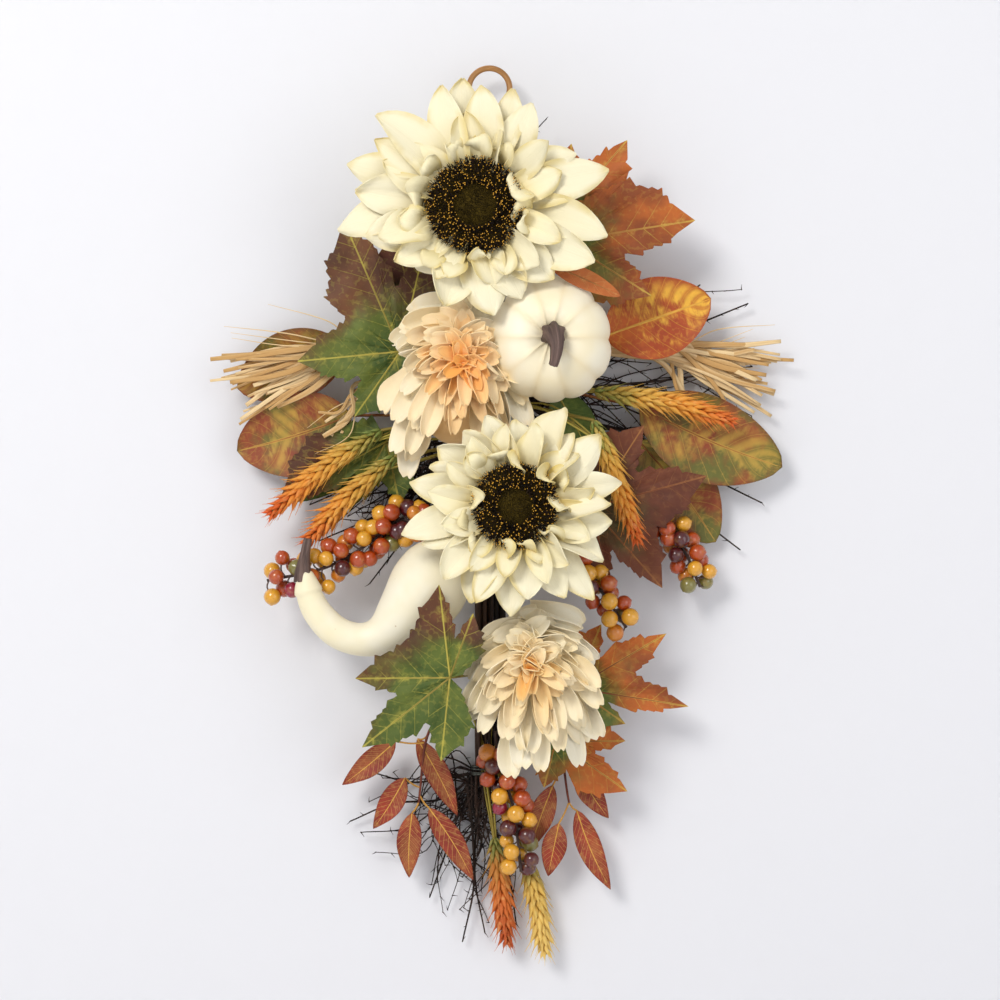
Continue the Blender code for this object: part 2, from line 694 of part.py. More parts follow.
def wheats(parent):
    """Each ear: where its straw leaves the core, where its grains start, and its tip."""
    ears = {
        "wheat_left_upper": ((-5, 38.5, -3), (-35.4, 40.3, -12), (-74, 50.1, -12)),
        "wheat_left_lower": ((-5, 41.8, -6), (-31.0, 43.2, -14), (-62, 53.4, -14)),
        "wheat_right_upper": ((5.5, 34.5, -4), (34.5, 36.0, -17), (82.3, 39.5, -17)),
        "wheat_right_lower": ((5.5, 37.0, -8), (34.0, 39.3, -28), (49.1, 53.3, -28)),
        "wheat_bottom_left": ((1, 84.8, 5), (1.6, 86.0, 3.2), (6.2, 98.6, 3.2)),
        "wheat_bottom_right": ((4, 84.8, 5), (12.2, 87.8, 3.2), (19.2, 99.7, 3.2)),
    }
    for name, points in ears.items():
        wheat(name, *[place(*point) for point in points], parent)


def raffia(parent):
    left = [(-94.1, 32.0), (-93.8, 33.8), (-89.2, 35.2), (-83.5, 37.0), (-83.0, 38.8)]
    right = [(102.8, 31.2), (102.8, 33.2), (102.0, 35.4), (96.4, 37.8)]
    strap = (RAFFIA_HALF_WIDTH, RAFFIA_HALF_THICKNESS / RAFFIA_HALF_WIDTH)
    spread_left = [place(a, d, -5.5) for a, d in left]
    spread_right = [place(a, d, 6) for a, d in right]
    strands("raffia_left", place(-8, 29.0, -5.5), spread_left, 1.5, "raffia_straw", parent, *strap)
    strands("raffia_right", place(8.2, 30.5, 6), spread_right, 2.5, "raffia_straw", parent, *strap)
    tail = [place(-58.5, 40.0, -5.5), place(-55.5, 40.6, -5.5)]
    strands("raffia_tail", place(-8, 34.0, -5.5), tail, 0.0, "raffia_straw", parent, *strap)


def twigs(parent):
    tufts = {
        "twigs_top": ((0, 10.8, -3.0), [(9.6, 3.4), (-9.4, 4.0), (19, 5.4)]),
        "twigs_left": ((-8, 43.0, 8), [(-57, 45.3), (-60, 48.6), (-57, 52.7), (-44, 53.8), (-40, 57.5)]),
        "twigs_right": (
            (9, 36.0, 10.5),
            [(70.5, 23.8), (86.6, 25.9), (88, 33.0), (90.6, 44.0), (91.3, 48.4), (84, 53.7)],
        ),
        "twigs_bottom": (
            (-1, 86.6, 11.8),
            [(-46.6, 84.4), (-38, 79.0), (-20, 93.0), (-1.5, 97.0), (9.0, 96.0), (-9, 98.0)],
        ),
    }
    for name, ((across, down, y), ends) in tufts.items():
        tips = [place(a, d, y) for a, d in ends]
        strands(name, place(across, down, y), tips, 4.0, "twig", parent, TWIG_RADIUS, 1.0)


def lobed_leaves(parent):
    leaves = {
        "maple_upper_left": (
            (-29.2, 31.6, -15.5),
            [(-13.2, 23.0), (-23.0, 19.4), (-48.1, 16.9), (-55.0, 21.6), (-63.1, 32.7), (-44.3, 38.8)],
            (-4, 29.5, -15.5),
            (0.0, -0.03),
        ),
        "maple_upper_left_dark": (
            (-24.0, 27.5, -9.8),
            [(-14, 21.0), (-30.0, 17.0), (-42.0, 21.5)],
            (-5, 26.5, -9.8),
            (0, 0),
        ),
        "maple_lower_left": (
            (-12.5, 67.3, -54),
            [(-5.0, 59.3), (-15.9, 57.2), (-42.9, 67.4), (-42.3, 74.5), (-15.5, 76.5)],
            (-7.2, 67.8, 4),
            (-0.04, -0.13),
        ),
        "maple_top_right": (
            (28.0, 15.5, -20),
            [(45.6, 14.0), (47.4, 11.4), (45.6, 8.0), (25.0, 8.3)],
            (5, 17.5, -2),
            (0, 0),
        ),
        "maple_upper_right": (
            (24.8, 19.2, -28),
            [(60.3, 23.8), (68.5, 16.6), (58.0, 15.0), (50.0, 14.2)],
            (5, 20.5, -2),
            (0, 0),
        ),
        "maple_middle_left": (
            (-34.0, 41.5, -4.5),
            [(-69.5, 48.1), (-46.6, 49.1), (-29.7, 48.7)],
            (-5, 41.0, -2.5),
            (0, 0),
        ),
        "maple_middle_right": (
            (33.7, 48.9, -13),
            [(50, 39.8), (64.0, 42.4), (71.7, 45.9), (57.2, 57.9), (39.6, 57.8)],
            (5, 46.0, -2),
            (0, 0),
        ),
        "maple_lower_right": (
            (30.0, 69.5, -13),
            [(37.9, 61.9), (58.3, 62.9), (65.6, 71.0), (45, 72.5)],
            (5, 67.5, -2),
            (0, 0),
        ),
        "maple_bottom_right": (
            (22.0, 75.0, -9),
            [(44.3, 75.7), (45.6, 80.5), (18.1, 80.2)],
            (5, 73.0, -2),
            (0, 0),
        ),
    }
    for name, (junction, tips, root, lean) in leaves.items():
        lobes = [place(*tip, junction[2]) for tip in tips]
        lobed_leaf(name, place(*junction), lobes, place(*root), lean, parent)


def oval_leaves(parent):
    """Each leaf: its base, its tip, its half width, its finish, and where its stalk starts."""
    blades = {
        "magnolia_left_upper": ((-48.0, 31.0, 2), (-84.2, 35.5, 2), 18.0, "magnolia_leaf", (-6.6, 30.0, 2)),
        "magnolia_left_lower": ((-46.0, 38.6, -1), (-83.9, 42.6, -1), 21.0, "magnolia_leaf", (-5.0, 38.0, -1)),
        "magnolia_right_upper": ((50.0, 37.6, -2), (99.5, 45.0, -2), 22.0, "magnolia_leaf", (5.0, 34.0, -2)),
        "magnolia_right_lower": ((50.0, 41.5, 4), (75.7, 52.8, 4), 18.5, "magnolia_leaf", (6.6, 40.0, 4)),
        "mottled_leaf": ((38.2, 29.8, -9), (73.4, 25.6, -9), 23.0, "mottled_leaf", (9, 28.5, -5)),
        "green_leaf_left": ((-30.0, 40.5, 2.5), (-66.1, 48.1, 2.5), 13.0, "green_leaf", (-6.6, 40.0, 2.5)),
        "green_leaf_right": ((22.0, 36.0, -8), (34.0, 43.5, -8), 13.0, "green_leaf", (5, 35.5, -2)),
        "folded_leaf": ((19.5, 22.7, -57.5), (42.2, 26.0, -54), 6.0, "maple_leaf", (5, 21.8, -2)),
    }
    for name, (base, tip, half_width, slot, root) in blades.items():
        blade(name, place(*base), place(*tip), half_width, slot, place(*root), parent)


def willows(parent):
    y = -1.2
    left = (
        (0.25, (-31.2, 75.1), (-48.8, 80.0)),
        (0.5, (-23.9, 74.9), (-10.7, 83.5)),
        (0.6, (-28.0, 79.2), (-38.5, 84.9)),
        (0.9, (-25.6, 83.1), (-26.6, 90.4)),
        (1.0, (-20.0, 82.6), (-5.4, 90.7)),
    )
    right = (
        (0.3, (21.1, 80.1), (13.2, 87.5)),
        (0.5, (29.1, 78.0), (39.7, 83.8)),
        (0.8, (23.1, 84.3), (19.5, 90.2)),
        (1.0, (29.1, 82.9), (40.3, 91.8)),
    )
    routes = {
        "willow_left": ([place(-8, 71.0, y), place(-20, 74.0, y), place(-23.5, 82.0, y)], left),
        "willow_right": ([place(8, 72.0, y), place(22, 75.0, y), place(26.5, 82.0, y)], right),
    }
    for name, (route, leaves) in routes.items():
        placed = [(share, place(*base, y), place(*tip, y)) for share, base, tip in leaves]
        willow_spray(name, route, placed, parent)


def build():
    for old in list(bpy.data.objects):
        bpy.data.objects.remove(old)
    held = pivot("ring_seat", Vector((0, 0, 0)))
    swinging = pivot("swing_axis", SWING_AXIS)
    hanging_ring(held)
    hanging_wire(swinging)
    twig_core(swinging)
    binding_wires(swinging)
    room = pumpkin(swinging)
    gourd(swinging)
    flowers(swinging, room)
    berries(swinging)
    wheats(swinging)
    raffia(swinging)
    twigs(swinging)
    lobed_leaves(swinging)
    oval_leaves(swinging)
    willows(swinging)


build()
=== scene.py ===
# %% [markdown]
# # A harvest door swag, dressed over its frame
# The swag hangs from a small wooden ring. Silk flowers, a foam pumpkin and gourd, berries,
# wheat, raffia and printed leaves are wired to a bundle of twigs. The frame already holds one
# plain solid for each of these. This script puts a detailed piece in the place of each solid.
# It could start from the plain solids and sculpt them, but thin petals and leaves are easier
# to grow as new sheets, so each piece is built fresh, and the solid that it stands for is hidden.

import math

import bpy
import numpy as np
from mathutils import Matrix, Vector


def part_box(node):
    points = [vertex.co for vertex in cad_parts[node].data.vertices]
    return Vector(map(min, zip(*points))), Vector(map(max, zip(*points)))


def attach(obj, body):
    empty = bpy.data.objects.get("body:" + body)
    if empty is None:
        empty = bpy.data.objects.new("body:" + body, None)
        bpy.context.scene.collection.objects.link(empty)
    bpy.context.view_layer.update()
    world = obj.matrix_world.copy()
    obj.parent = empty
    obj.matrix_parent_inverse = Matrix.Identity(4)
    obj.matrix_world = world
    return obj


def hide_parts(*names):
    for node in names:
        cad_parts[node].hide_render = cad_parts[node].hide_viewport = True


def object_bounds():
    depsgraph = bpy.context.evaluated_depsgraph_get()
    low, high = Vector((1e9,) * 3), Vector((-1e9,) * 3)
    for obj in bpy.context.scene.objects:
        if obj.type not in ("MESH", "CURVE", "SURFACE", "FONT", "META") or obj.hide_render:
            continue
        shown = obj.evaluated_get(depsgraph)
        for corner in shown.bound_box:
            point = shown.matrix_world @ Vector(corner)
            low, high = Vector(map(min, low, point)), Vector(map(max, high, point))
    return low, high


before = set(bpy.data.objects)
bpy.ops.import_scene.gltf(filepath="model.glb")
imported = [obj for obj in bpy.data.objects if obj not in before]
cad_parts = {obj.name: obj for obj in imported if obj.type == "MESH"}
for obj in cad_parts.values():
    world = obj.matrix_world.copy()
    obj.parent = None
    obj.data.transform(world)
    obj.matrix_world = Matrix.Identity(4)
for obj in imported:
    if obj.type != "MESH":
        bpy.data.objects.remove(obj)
CAD_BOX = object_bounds()
MM = 0.001
FOOT_SHARE, SIDE_SHARE = 0.997, 1.028  # where the box's foot and right side lie on the swag
SWAG_LENGTH = -CAD_BOX[0].z / FOOT_SHARE
HALF_WIDTH = CAD_BOX[1].x / SIDE_SHARE
FRONT = np.array((0.0, -1.0, 0.0))
GOLDEN = math.radians(137.5)
SHARP_EDGE = math.radians(50)
print(f"{len(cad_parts)} solids, swag {SWAG_LENGTH / MM:.0f} mm long, half width {HALF_WIDTH / MM:.0f} mm")

# %% [markdown]
# ## Places
# Every place on the swag is a share of its width and length, in hundredths, with a depth in
# millimetres. The door is at the back, and the room is towards minus y. Shares keep the pieces
# together when the swag's size changes, which fixed coordinates would not.


# %% Places and smooth paths
def place(across, down, depth=0.0):
    return np.array((across / 100 * HALF_WIDTH, depth * MM, -down / 100 * SWAG_LENGTH))


def box_of(node):
    """A solid's low and high corners, its middle and its half size."""
    low, high = (np.array(corner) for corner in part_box(node))
    return low, high, (low + high) / 2, (high - low) / 2


def unit(vector):
    vector = np.asarray(vector, float)
    return vector / max(np.linalg.norm(vector), 1e-12)


def spoke(angle):
    """A direction across the swag's face. 0 is to the right, and a quarter turn is up."""
    return np.array((math.cos(angle), 0.0, math.sin(angle)))


def round_turn(sides):
    return 2 * math.pi * np.arange(sides)[None, :] / sides


def smooth_path(points, steps):
    """A curve through the points, with this many steps between each two."""
    points = np.asarray(points, float)
    before = np.vstack([2 * points[0] - points[1], points[:-2], points[-2]])[: len(points) - 1]
    after = np.vstack([points[2:], 2 * points[-1] - points[-2]])
    t = np.linspace(0, 1, steps, endpoint=False)[:, None]
    path = []
    for a, b, c, d in zip(before, points[:-1], points[1:], after):
        bent, turned = 2 * a - 5 * b + 4 * c - d, 3 * b - a - 3 * c + d
        path.append(0.5 * (2 * b + (c - a) * t + bent * t**2 + turned * t**3))
    return np.vstack([*path, points[-1:]])


def spread(values, steps):
    """Radii or widths for each point of smooth_path."""
    at = np.linspace(0, len(values) - 1, steps * (len(values) - 1) + 1)
    return np.interp(at, np.arange(len(values)), values)


def walk(path, t):
    """The place, direction and side at step t of a path."""
    i = min(int(t), len(path) - 2)
    step = path[i + 1] - path[i]
    along = unit(step)
    return path[i] + step * (t - i), along, unit(np.cross(along, (0.0, 1.0, 0.0)))


print("the swag's middle is at", np.round(place(0, 50), 3))

# %% [markdown]
# ## One way to make a skin
# Petals, leaves and stems are all grids: rows along the piece and columns across it. One small
# class gathers grids into a mesh, gives each a UV map, and stores values at its points, such as
# how far out in the flower a petal sits. Materials read those values later. A sheet then gets
# its thickness from a Solidify modifier, which is applied at once.


# %% The skin class
def linked(name, data):
    obj = bpy.data.objects.new(name, data)
    bpy.context.scene.collection.objects.link(obj)
    return obj


def bare(name, points, edges=(), faces=(), **values):
    """A plain object from its points, with values stored at them."""
    mesh = bpy.data.meshes.new(name)
    mesh.from_pydata(np.asarray(points).tolist(), edges, faces)
    for key, held in values.items():
        held = np.asarray(held, np.float32)
        kind, field = ("FLOAT_VECTOR", "vector") if held.ndim == 2 else ("FLOAT", "value")
        mesh.attributes.new(key, kind, "POINT").data.foreach_set(field, held.ravel())
    return linked(name, mesh)


def settle(obj):
    """Turns what the object's modifiers make into its own plain mesh."""
    graph = bpy.context.evaluated_depsgraph_get()
    made = bpy.data.meshes.new_from_object(obj.evaluated_get(graph), depsgraph=graph)
    obj.modifiers.clear()
    obj.data = made
    return obj


class Skin:
    """Grids of points gathered into one mesh, with a UV map and named values at the points."""

    def __init__(self):
        self.points, self.faces, self.uv, self.values = [], [], [], {}
        self.count = 0

    def add_points(self, points, values):
        points = np.asarray(points, float).reshape(-1, 3)
        self.points.append(points)
        for name in sorted(set(values) | set(self.values)):
            held = self.values.setdefault(name, [np.zeros(self.count)])
            held.append(np.broadcast_to(np.asarray(values.get(name, 0.0), float).reshape(-1), len(points)))
        self.count += len(points)

    def grid(self, points, around=False, **values):
        """Rows and columns of points. Around joins the last column to the first."""
        rows, columns = points.shape[:2]
        index = self.count + np.arange(rows * columns).reshape(rows, columns)
        self.add_points(points, {k: np.broadcast_to(v, (rows, columns)) for k, v in values.items()})
        spans = columns if around else columns - 1
        i, j = np.meshgrid(np.arange(rows - 1), np.arange(spans), indexing="ij")
        steps = ((0, 0), (0, 1), (1, 1), (1, 0))
        quads = np.stack([index[i + a, (j + b) % columns] for a, b in steps], -1)
        self.faces += quads.reshape(-1, 4).tolist()
        uv = [np.stack([(j + b) / spans, (i + a) / (rows - 1)], -1) for a, b in steps]
        self.uv.append(np.stack(uv, -2).reshape(-1, 2))
        return index

    def cap(self, ring, centre, along, **values):
        """Closes a ring of points with a fan round its centre."""
        middle = self.count
        self.add_points(centre, values)
        for a, b in zip(ring.tolist(), np.roll(ring, -1).tolist()):
            self.faces.append([middle, a, b] if along else [middle, b, a])
        self.uv.append(np.tile(((0.5, float(along)),), (3 * len(ring), 1)))

    def tube(self, path, radii, sides=8, flat=1.0, **values):
        """A closed tube along a path. Flat squashes its section."""
        path = np.asarray(path, float)
        radii = np.broadcast_to(np.asarray(radii, float), len(path))
        along = np.gradient(path, axis=0)
        along /= np.linalg.norm(along, axis=1)[:, None]
        side = unit(np.cross(along[0], (0.0, 1.0, 0.0) if abs(along[0][1]) < 0.9 else (1.0, 0.0, 0.0)))
        turn = round_turn(sides)[0]
        rings = []
        for at, forward, radius in zip(path, along, radii):
            side = unit(side - forward * (side @ forward))
            up = np.cross(forward, side)
            rings.append(at + radius * (np.cos(turn)[:, None] * side + flat * np.sin(turn)[:, None] * up))
        index = self.grid(np.array(rings), around=True, **values)
        self.cap(index[0], path[0], False, **values)
        self.cap(index[-1], path[-1], True, **values)

    def mesh(self, name, thickness=0.0):
        values = {key: np.concatenate(held) for key, held in self.values.items()}
        obj = bare(name, np.vstack(self.points), (), self.faces, **values)
        mesh = obj.data
        layer = mesh.uv_layers.new(name="UVMap")
        layer.data.foreach_set("uv", np.vstack(self.uv).astype(np.float32).ravel())
        mesh.polygons.foreach_set("use_smooth", [True] * len(mesh.polygons))
        mesh.update()
        if thickness:
            wall = obj.modifiers.new("wall", "SOLIDIFY")
            wall.thickness, wall.offset = thickness, 0.0
            settle(obj).data.set_sharp_from_angle(angle=SHARP_EDGE)
        return obj


def show(obj, material, nodes=(), body="wreath"):
    """Gives the piece its finish, says what it rides on, and hides the solids that it stands for."""
    obj.data.materials.clear()
    obj.data.materials.append(material)
    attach(obj, body)
    if nodes:
        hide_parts(*nodes)
    print(f"{obj.name}: {sum(len(p.vertices) - 2 for p in obj.data.polygons)} triangles")
    return obj


print("skins ready")

# %% [markdown]
# ## Materials as sums
# A finish is easier to read as arithmetic than as a drawing of nodes. The class below wraps one
# socket, so that `0.4 + 0.3 * noise` adds the Math nodes. Colours go through Mix nodes, because
# a Math node would turn them grey. Every other node comes from one method.


# %% The finish class
class Value:
    """A socket that can be added, subtracted and multiplied from either side."""

    def __init__(self, finish, socket):
        self.finish, self.socket = finish, socket

    def math(self, operation, *others):
        return self.finish.math(operation, self, *others)

    def __add__(self, other):
        return self.math("ADD", other)

    def __sub__(self, other):
        return self.math("SUBTRACT", other)

    def __rsub__(self, other):
        return self.finish.math("SUBTRACT", other, self)

    def __mul__(self, other):
        return self.math("MULTIPLY", other)

    __radd__, __rmul__ = __add__, __mul__

    def fade(self, start, end):
        """0 at start and 1 at end, smoothly."""
        inputs = {"Value": self, "From Min": start, "From Max": end}
        return self.finish.value("ShaderNodeMapRange", {"interpolation_type": "SMOOTHSTEP"}, inputs, "Result")


def hue(code):
    """A colour from its web code, in the linear light that Blender works in."""
    parts = [int(code[i : i + 2], 16) / 255 for i in (1, 3, 5)]
    return tuple(p / 12.92 if p <= 0.04045 else ((p + 0.055) / 1.055) ** 2.4 for p in parts) + (1.0,)


class Finish:
    """A material and the few ways in which this script adds to it."""

    def __init__(self, name, **constants):
        self.material = bpy.data.materials.new(name)
        self.material.use_nodes = True
        self.tree = self.material.node_tree
        self.shader = self.tree.nodes["Principled BSDF"]
        for key, value in constants.items():
            self.shader.inputs[key.replace("_", " ")].default_value = value

    def node(self, kind, settings=None, inputs=None):
        made = self.tree.nodes.new(kind)
        for key, value in (settings or {}).items():
            if key != "stops":
                setattr(made, key, value)
                continue
            ramp = made.color_ramp.elements
            while len(ramp) < len(value):
                ramp.new(1.0)
            for stop, (at, colour) in zip(ramp, value):
                stop.position, stop.color = at, hue(colour)
        for key, value in (inputs or {}).items():
            self.plug(made.inputs[key], value)
        return made

    def value(self, kind, settings=None, inputs=None, output=0):
        return Value(self, self.node(kind, settings, inputs).outputs[output])

    def plug(self, socket, value):
        value = value.socket if isinstance(value, Value) else value
        if isinstance(value, bpy.types.NodeSocket):
            self.tree.links.new(value, socket)
        else:
            socket.default_value = hue(value) if isinstance(value, str) else value

    def math(self, operation, *values):
        return self.value("ShaderNodeMath", {"operation": operation}, dict(enumerate(values)))

    def mix(self, share, first, second, blend="MIX"):
        settings = {"data_type": "RGBA", "blend_type": blend}
        return self.node("ShaderNodeMix", settings, {0: share, 6: first, 7: second}).outputs[2]

    def ramp(self, share, stops, steps=False):
        made = self.node("ShaderNodeValToRGB", {"stops": stops}, {"Fac": share})
        made.color_ramp.interpolation = "CONSTANT" if steps else "LINEAR"
        return made.outputs["Color"]

    def held(self, name):
        return self.value("ShaderNodeAttribute", {"attribute_name": name}, None, "Fac")

    def uv(self):
        parts = self.node("ShaderNodeSeparateXYZ", None, {0: self.node("ShaderNodeUVMap").outputs[0]})
        return Value(self, parts.outputs[0]), Value(self, parts.outputs[1])

    def stretched(self, scale=(1.0, 1.0, 1.0), source="ShaderNodeUVMap", output=0):
        """The piece's own UV, or its Object coordinates, stretched for a texture."""
        where = self.node(source).outputs[output]
        return self.node("ShaderNodeMapping", None, {"Vector": where, "Scale": scale}).outputs[0]

    def space(self, scale=(1.0, 1.0, 1.0)):
        return self.stretched(scale, "ShaderNodeTexCoord", "Object")

    def noise(self, scale, detail=3.0, where=None):
        inputs = {"Vector": where or self.space(), "Scale": scale, "Detail": detail, "Roughness": 0.55}
        return self.value("ShaderNodeTexNoise", None, inputs, "Fac")

    def spots(self, scale):
        return self.value("ShaderNodeTexVoronoi", None, {"Vector": self.space(), "Scale": scale}, "Distance")

    def finish(self, colour, roughness, height=None, strength=0.3, distance=0.4 * MM):
        self.plug(self.shader.inputs["Base Color"], colour)
        self.plug(self.shader.inputs["Roughness"], roughness)
        if height is not None:
            bump = self.node("ShaderNodeBump", None, {"Strength": strength, "Distance": distance, "Height": height})
            self.plug(self.shader.inputs["Normal"], bump.outputs["Normal"])
        return self.material


print("finishes ready")


# %% [markdown]
# ## Finishes for the flowers
# Silk petals are printed cream cloth. The upper flower is peach at its heart and ivory outside,
# so its petals hold a value for their layer. Fine lengthwise veins come from noise stretched
# along the petal's own UV, because the veins follow each petal and not the room.


# %% Petal and disc finishes
def petal_finish(name, hues, edge, edge_share, spread_of_tone=0.12):
    """Hues run from the flower's heart outwards. The edge colour ages the rims, and at the feet it is partly the
    silk's own gold and partly painted shade where the petals meet the heart.
    """
    f = Finish(name, Specular_IOR_Level=0.25, Sheen_Weight=0.2, Sheen_Roughness=0.5)
    across, along = f.uv()
    veins = f.noise(1.0, 4.0, f.stretched((26.0, 1.6, 1.0)))
    blotch = f.noise(42.0)
    layer = f.held("layer") + 0.16 * (blotch - 0.5) + spread_of_tone * (f.held("tone") - 0.5)
    side = (across - 0.5).math("ABSOLUTE") * 2.0
    rim = side.fade(0.55, 1.0) + along.fade(0.86, 1.0)
    aged = (rim * blotch.fade(0.38, 0.62)).math("MINIMUM", 1.0)
    base = f.ramp(layer + 0.10 * (along - 0.5), hues)
    # Painted shade, in part: the edge colour at each petal's foot is partly the silk's gold tint there and partly
    # shade where the petal meets the flower's heart.
    foot = along.fade(0.55, 0.0) * 0.75
    aged_and_foot_shaded = f.mix((aged + foot).math("MINIMUM", 1.0) * edge_share, base, edge)
    shaded = f.mix(0.14 * veins.fade(0.52, 0.72), aged_and_foot_shaded, f.mix(0.5, aged_and_foot_shaded, edge, "MULTIPLY"))
    weave = f.noise(2400.0, 1.0)
    return f.finish(shaded, 0.62 + 0.16 * blotch, veins * 0.9 + weave * 0.25, 0.6, 0.5 * MM)


CREAM_HUES = (0.0, "#A8842E"), (0.16, "#DEC878"), (0.36, "#F4EAC2"), (1.0, "#F6EFD4")
PEACH_HUES = (0.0, "#F7B058"), (0.22, "#FAC884"), (0.5, "#FCDFAE"), (0.8, "#FBECC8"), (1.0, "#FBF3DC")
IVORY_HUES = (0.0, "#F4B050"), (0.08, "#F8CF8A"), (0.32, "#FBE3B4"), (0.7, "#FBEECC"), (1.0, "#FBF4DE")
# The edge colour ages the rims, and at the petals' feet it is partly painted shade.
CREAM_PETAL = petal_finish("cream silk", CREAM_HUES, "#DABF5A", 0.6)
PEACH_PETAL = petal_finish("peach silk", PEACH_HUES, "#F8DCA0", 0.35, 0.4)
IVORY_PETAL = petal_finish("ivory silk", IVORY_HUES, "#F4DA9C", 0.35, 0.3)


def bristle_finish():
    f = Finish("flocked bristles", Specular_IOR_Level=0.3)
    dark = f.mix(f.noise(160.0).fade(0.35, 0.65), "#120B08", "#2C1C12")
    gold = f.held("gold")
    return f.finish(f.mix(gold, dark, "#E3A93A"), 0.9 - 0.35 * gold)


def felt_finish():
    f = Finish("felt heart", Specular_IOR_Level=0.15)
    fuzz = f.noise(1400.0)
    tone = f.mix(f.noise(120.0).fade(0.35, 0.65), "#2B2208", "#43360E")
    return f.finish(f.mix(fuzz.fade(0.45, 0.7), tone, "#5A4812"), 0.95, fuzz, 0.8, 0.5 * MM)


BRISTLE, FELT = bristle_finish(), felt_finish()
print("petal finishes:", CREAM_PETAL.name, PEACH_PETAL.name, IVORY_PETAL.name)

# %% [markdown]
# ## Finishes for the leaves
# The leaves are cloth printed with a leaf's own colours: green near the stalk, rust and brown
# towards the tips, and yellow veins. A lobed leaf stores how far each point is from its nearest
# midrib and how far it runs along it, so the side veins can be drawn as slanting lines.


# %% Leaf finishes
def lobed_finish(name, green, dark_green, rust, brown, vein, spill=0.0):
    """Green near the stalk, rust or brown outside. Spill moves the border outwards."""
    f = Finish(name, Specular_IOR_Level=0.35)
    off, run, out = f.held("off"), f.held("run"), f.held("out")
    mottle = f.noise(46.0, 5.0)
    fine = f.noise(260.0)
    reach = out + (mottle - 0.5) + f.held("tone") - spill
    leaf = f.mix(mottle.fade(0.32, 0.7), green, dark_green)
    turned = f.mix(f.noise(30.0, 4.0).fade(0.36, 0.64), rust, brown)
    body = f.mix(reach.fade(0.24, 0.68), leaf, turned)
    slant = (run * 0.95 - off * 0.8 + 0.25 * (mottle - 0.5)).math("FRACT")
    line = (slant - 0.5).math("ABSOLUTE").fade(0.05, 0.0) * off.fade(2.6, 0.2)
    net = f.spots(400.0).fade(0.62, 0.8) * 0.14
    rib = off.fade(0.07, 0.02)
    glow = off.fade(0.5, 0.0) * f.noise(210.0, 5.0).fade(0.5, 0.68) * 0.5
    veined = (0.5 * line * mottle.fade(0.3, 0.6) + rib * 0.8 + net + glow).math("MINIMUM", 1.0)
    colour = f.mix(veined * 0.85, body, vein)
    shade = f.mix(0.35 * fine, colour, f.mix(0.5, colour, "#1E1408"))
    return f.finish(shade, 0.5 + 0.25 * mottle, line * -1.0 + fine * 0.4, 0.4, 0.5 * MM)


def blade_finish(name, deep, mid, flame, edge, turned_share=0.5, vein_count=9.0, share=0.8, veined=0.45):
    """A blade with yellow flames along its side veins, and a dark or rusty margin."""
    f = Finish(name, Specular_IOR_Level=0.4)
    across, along = f.uv()
    side = (across - 0.5).math("ABSOLUTE") * 2.0
    blotch = f.noise(44.0, 5.0)
    fine = f.noise(300.0)
    slant = (along * vein_count - side * 2.0 + 0.5 * (blotch - 0.5)).math("FRACT")
    line = (slant - 0.5).math("ABSOLUTE").fade(0.05, 0.0)
    drawn = f.noise(1.0, 4.0, f.stretched((5.0, 26.0, 1.0)))
    feather = (f.noise(34.0, 6.0) + 0.35 * (drawn - 0.5)).fade(0.42, 0.58)
    flames = (0.35 + 0.65 * (slant - 0.5).math("ABSOLUTE").fade(0.06, 0.4)) * feather
    rib = side.fade(0.05, 0.015)
    early = 0.3 * turned_share
    base = f.mix(blotch.fade(0.5 - early, 0.72 - early), deep, mid)
    lit = f.mix((flames * side.fade(1.05, 0.5) * share).math("MINIMUM", 1.0), base, flame)
    rimmed = f.mix(side.fade(0.84, 1.0) * 0.5, lit, edge)
    net = f.spots(400.0).fade(0.6, 0.8) * 0.2
    ribbed = f.mix((rib + veined * line + net).math("MINIMUM", 1.0), rimmed, f.mix(0.2, flame, mid))
    shade = f.mix(0.3 * fine, ribbed, "#24180C")
    return f.finish(shade, 0.45 + 0.25 * blotch, line * -0.6 + fine * 0.4, 0.35, 0.5 * MM)


MAPLE_GREEN = lobed_finish("maple, green heart", "#66722C", "#3F5622", "#75482A", "#52301E", "#CCBE50", 0.14)
MAPLE_DARK = lobed_finish("maple, dark", "#565C2A", "#3C4420", "#744028", "#54291E", "#A08C3C", -0.15)
MAPLE_RUST = lobed_finish("maple, rust", "#667634", "#465E26", "#C46828", "#8E4822", "#D8B850", 0.0)
MAPLE_BROWN = lobed_finish("maple, brown", "#5E5A2E", "#4A3E22", "#764028", "#54281A", "#A8703E", -0.12)
FOLDED = lobed_finish("folded leaf", "#C4743A", "#B0602C", "#CC7638", "#A85628", "#DCA860", -0.2)
MAGNOLIA = blade_finish("magnolia leaf", "#6E6E2E", "#984828", "#D8AE48", "#7A4624", 0.42, 9.0, 0.66)
MOTTLED = blade_finish("mottled leaf", "#CC6422", "#AC461A", "#F9BE40", "#B04A1C", 0.5, 8.0, 1.0)
GREEN_LEAF = blade_finish("green leaf", "#506828", "#626A30", "#94A048", "#44561F", 0.2, 9.0, 0.4)
WILLOW = blade_finish("willow leaf", "#AC4028", "#903222", "#F4C668", "#7E2C1C", 0.5, 11.0, 0.18, 1.0)
print("leaf finishes ready")

# %% [markdown]
# ## Finishes for skins, stems and straw
# The pumpkin and gourd are painted foam with a soft, slightly uneven cream. Berries are waxy.
# Stems, twigs and raffia take streaks that run along them, from noise stretched along the UV.


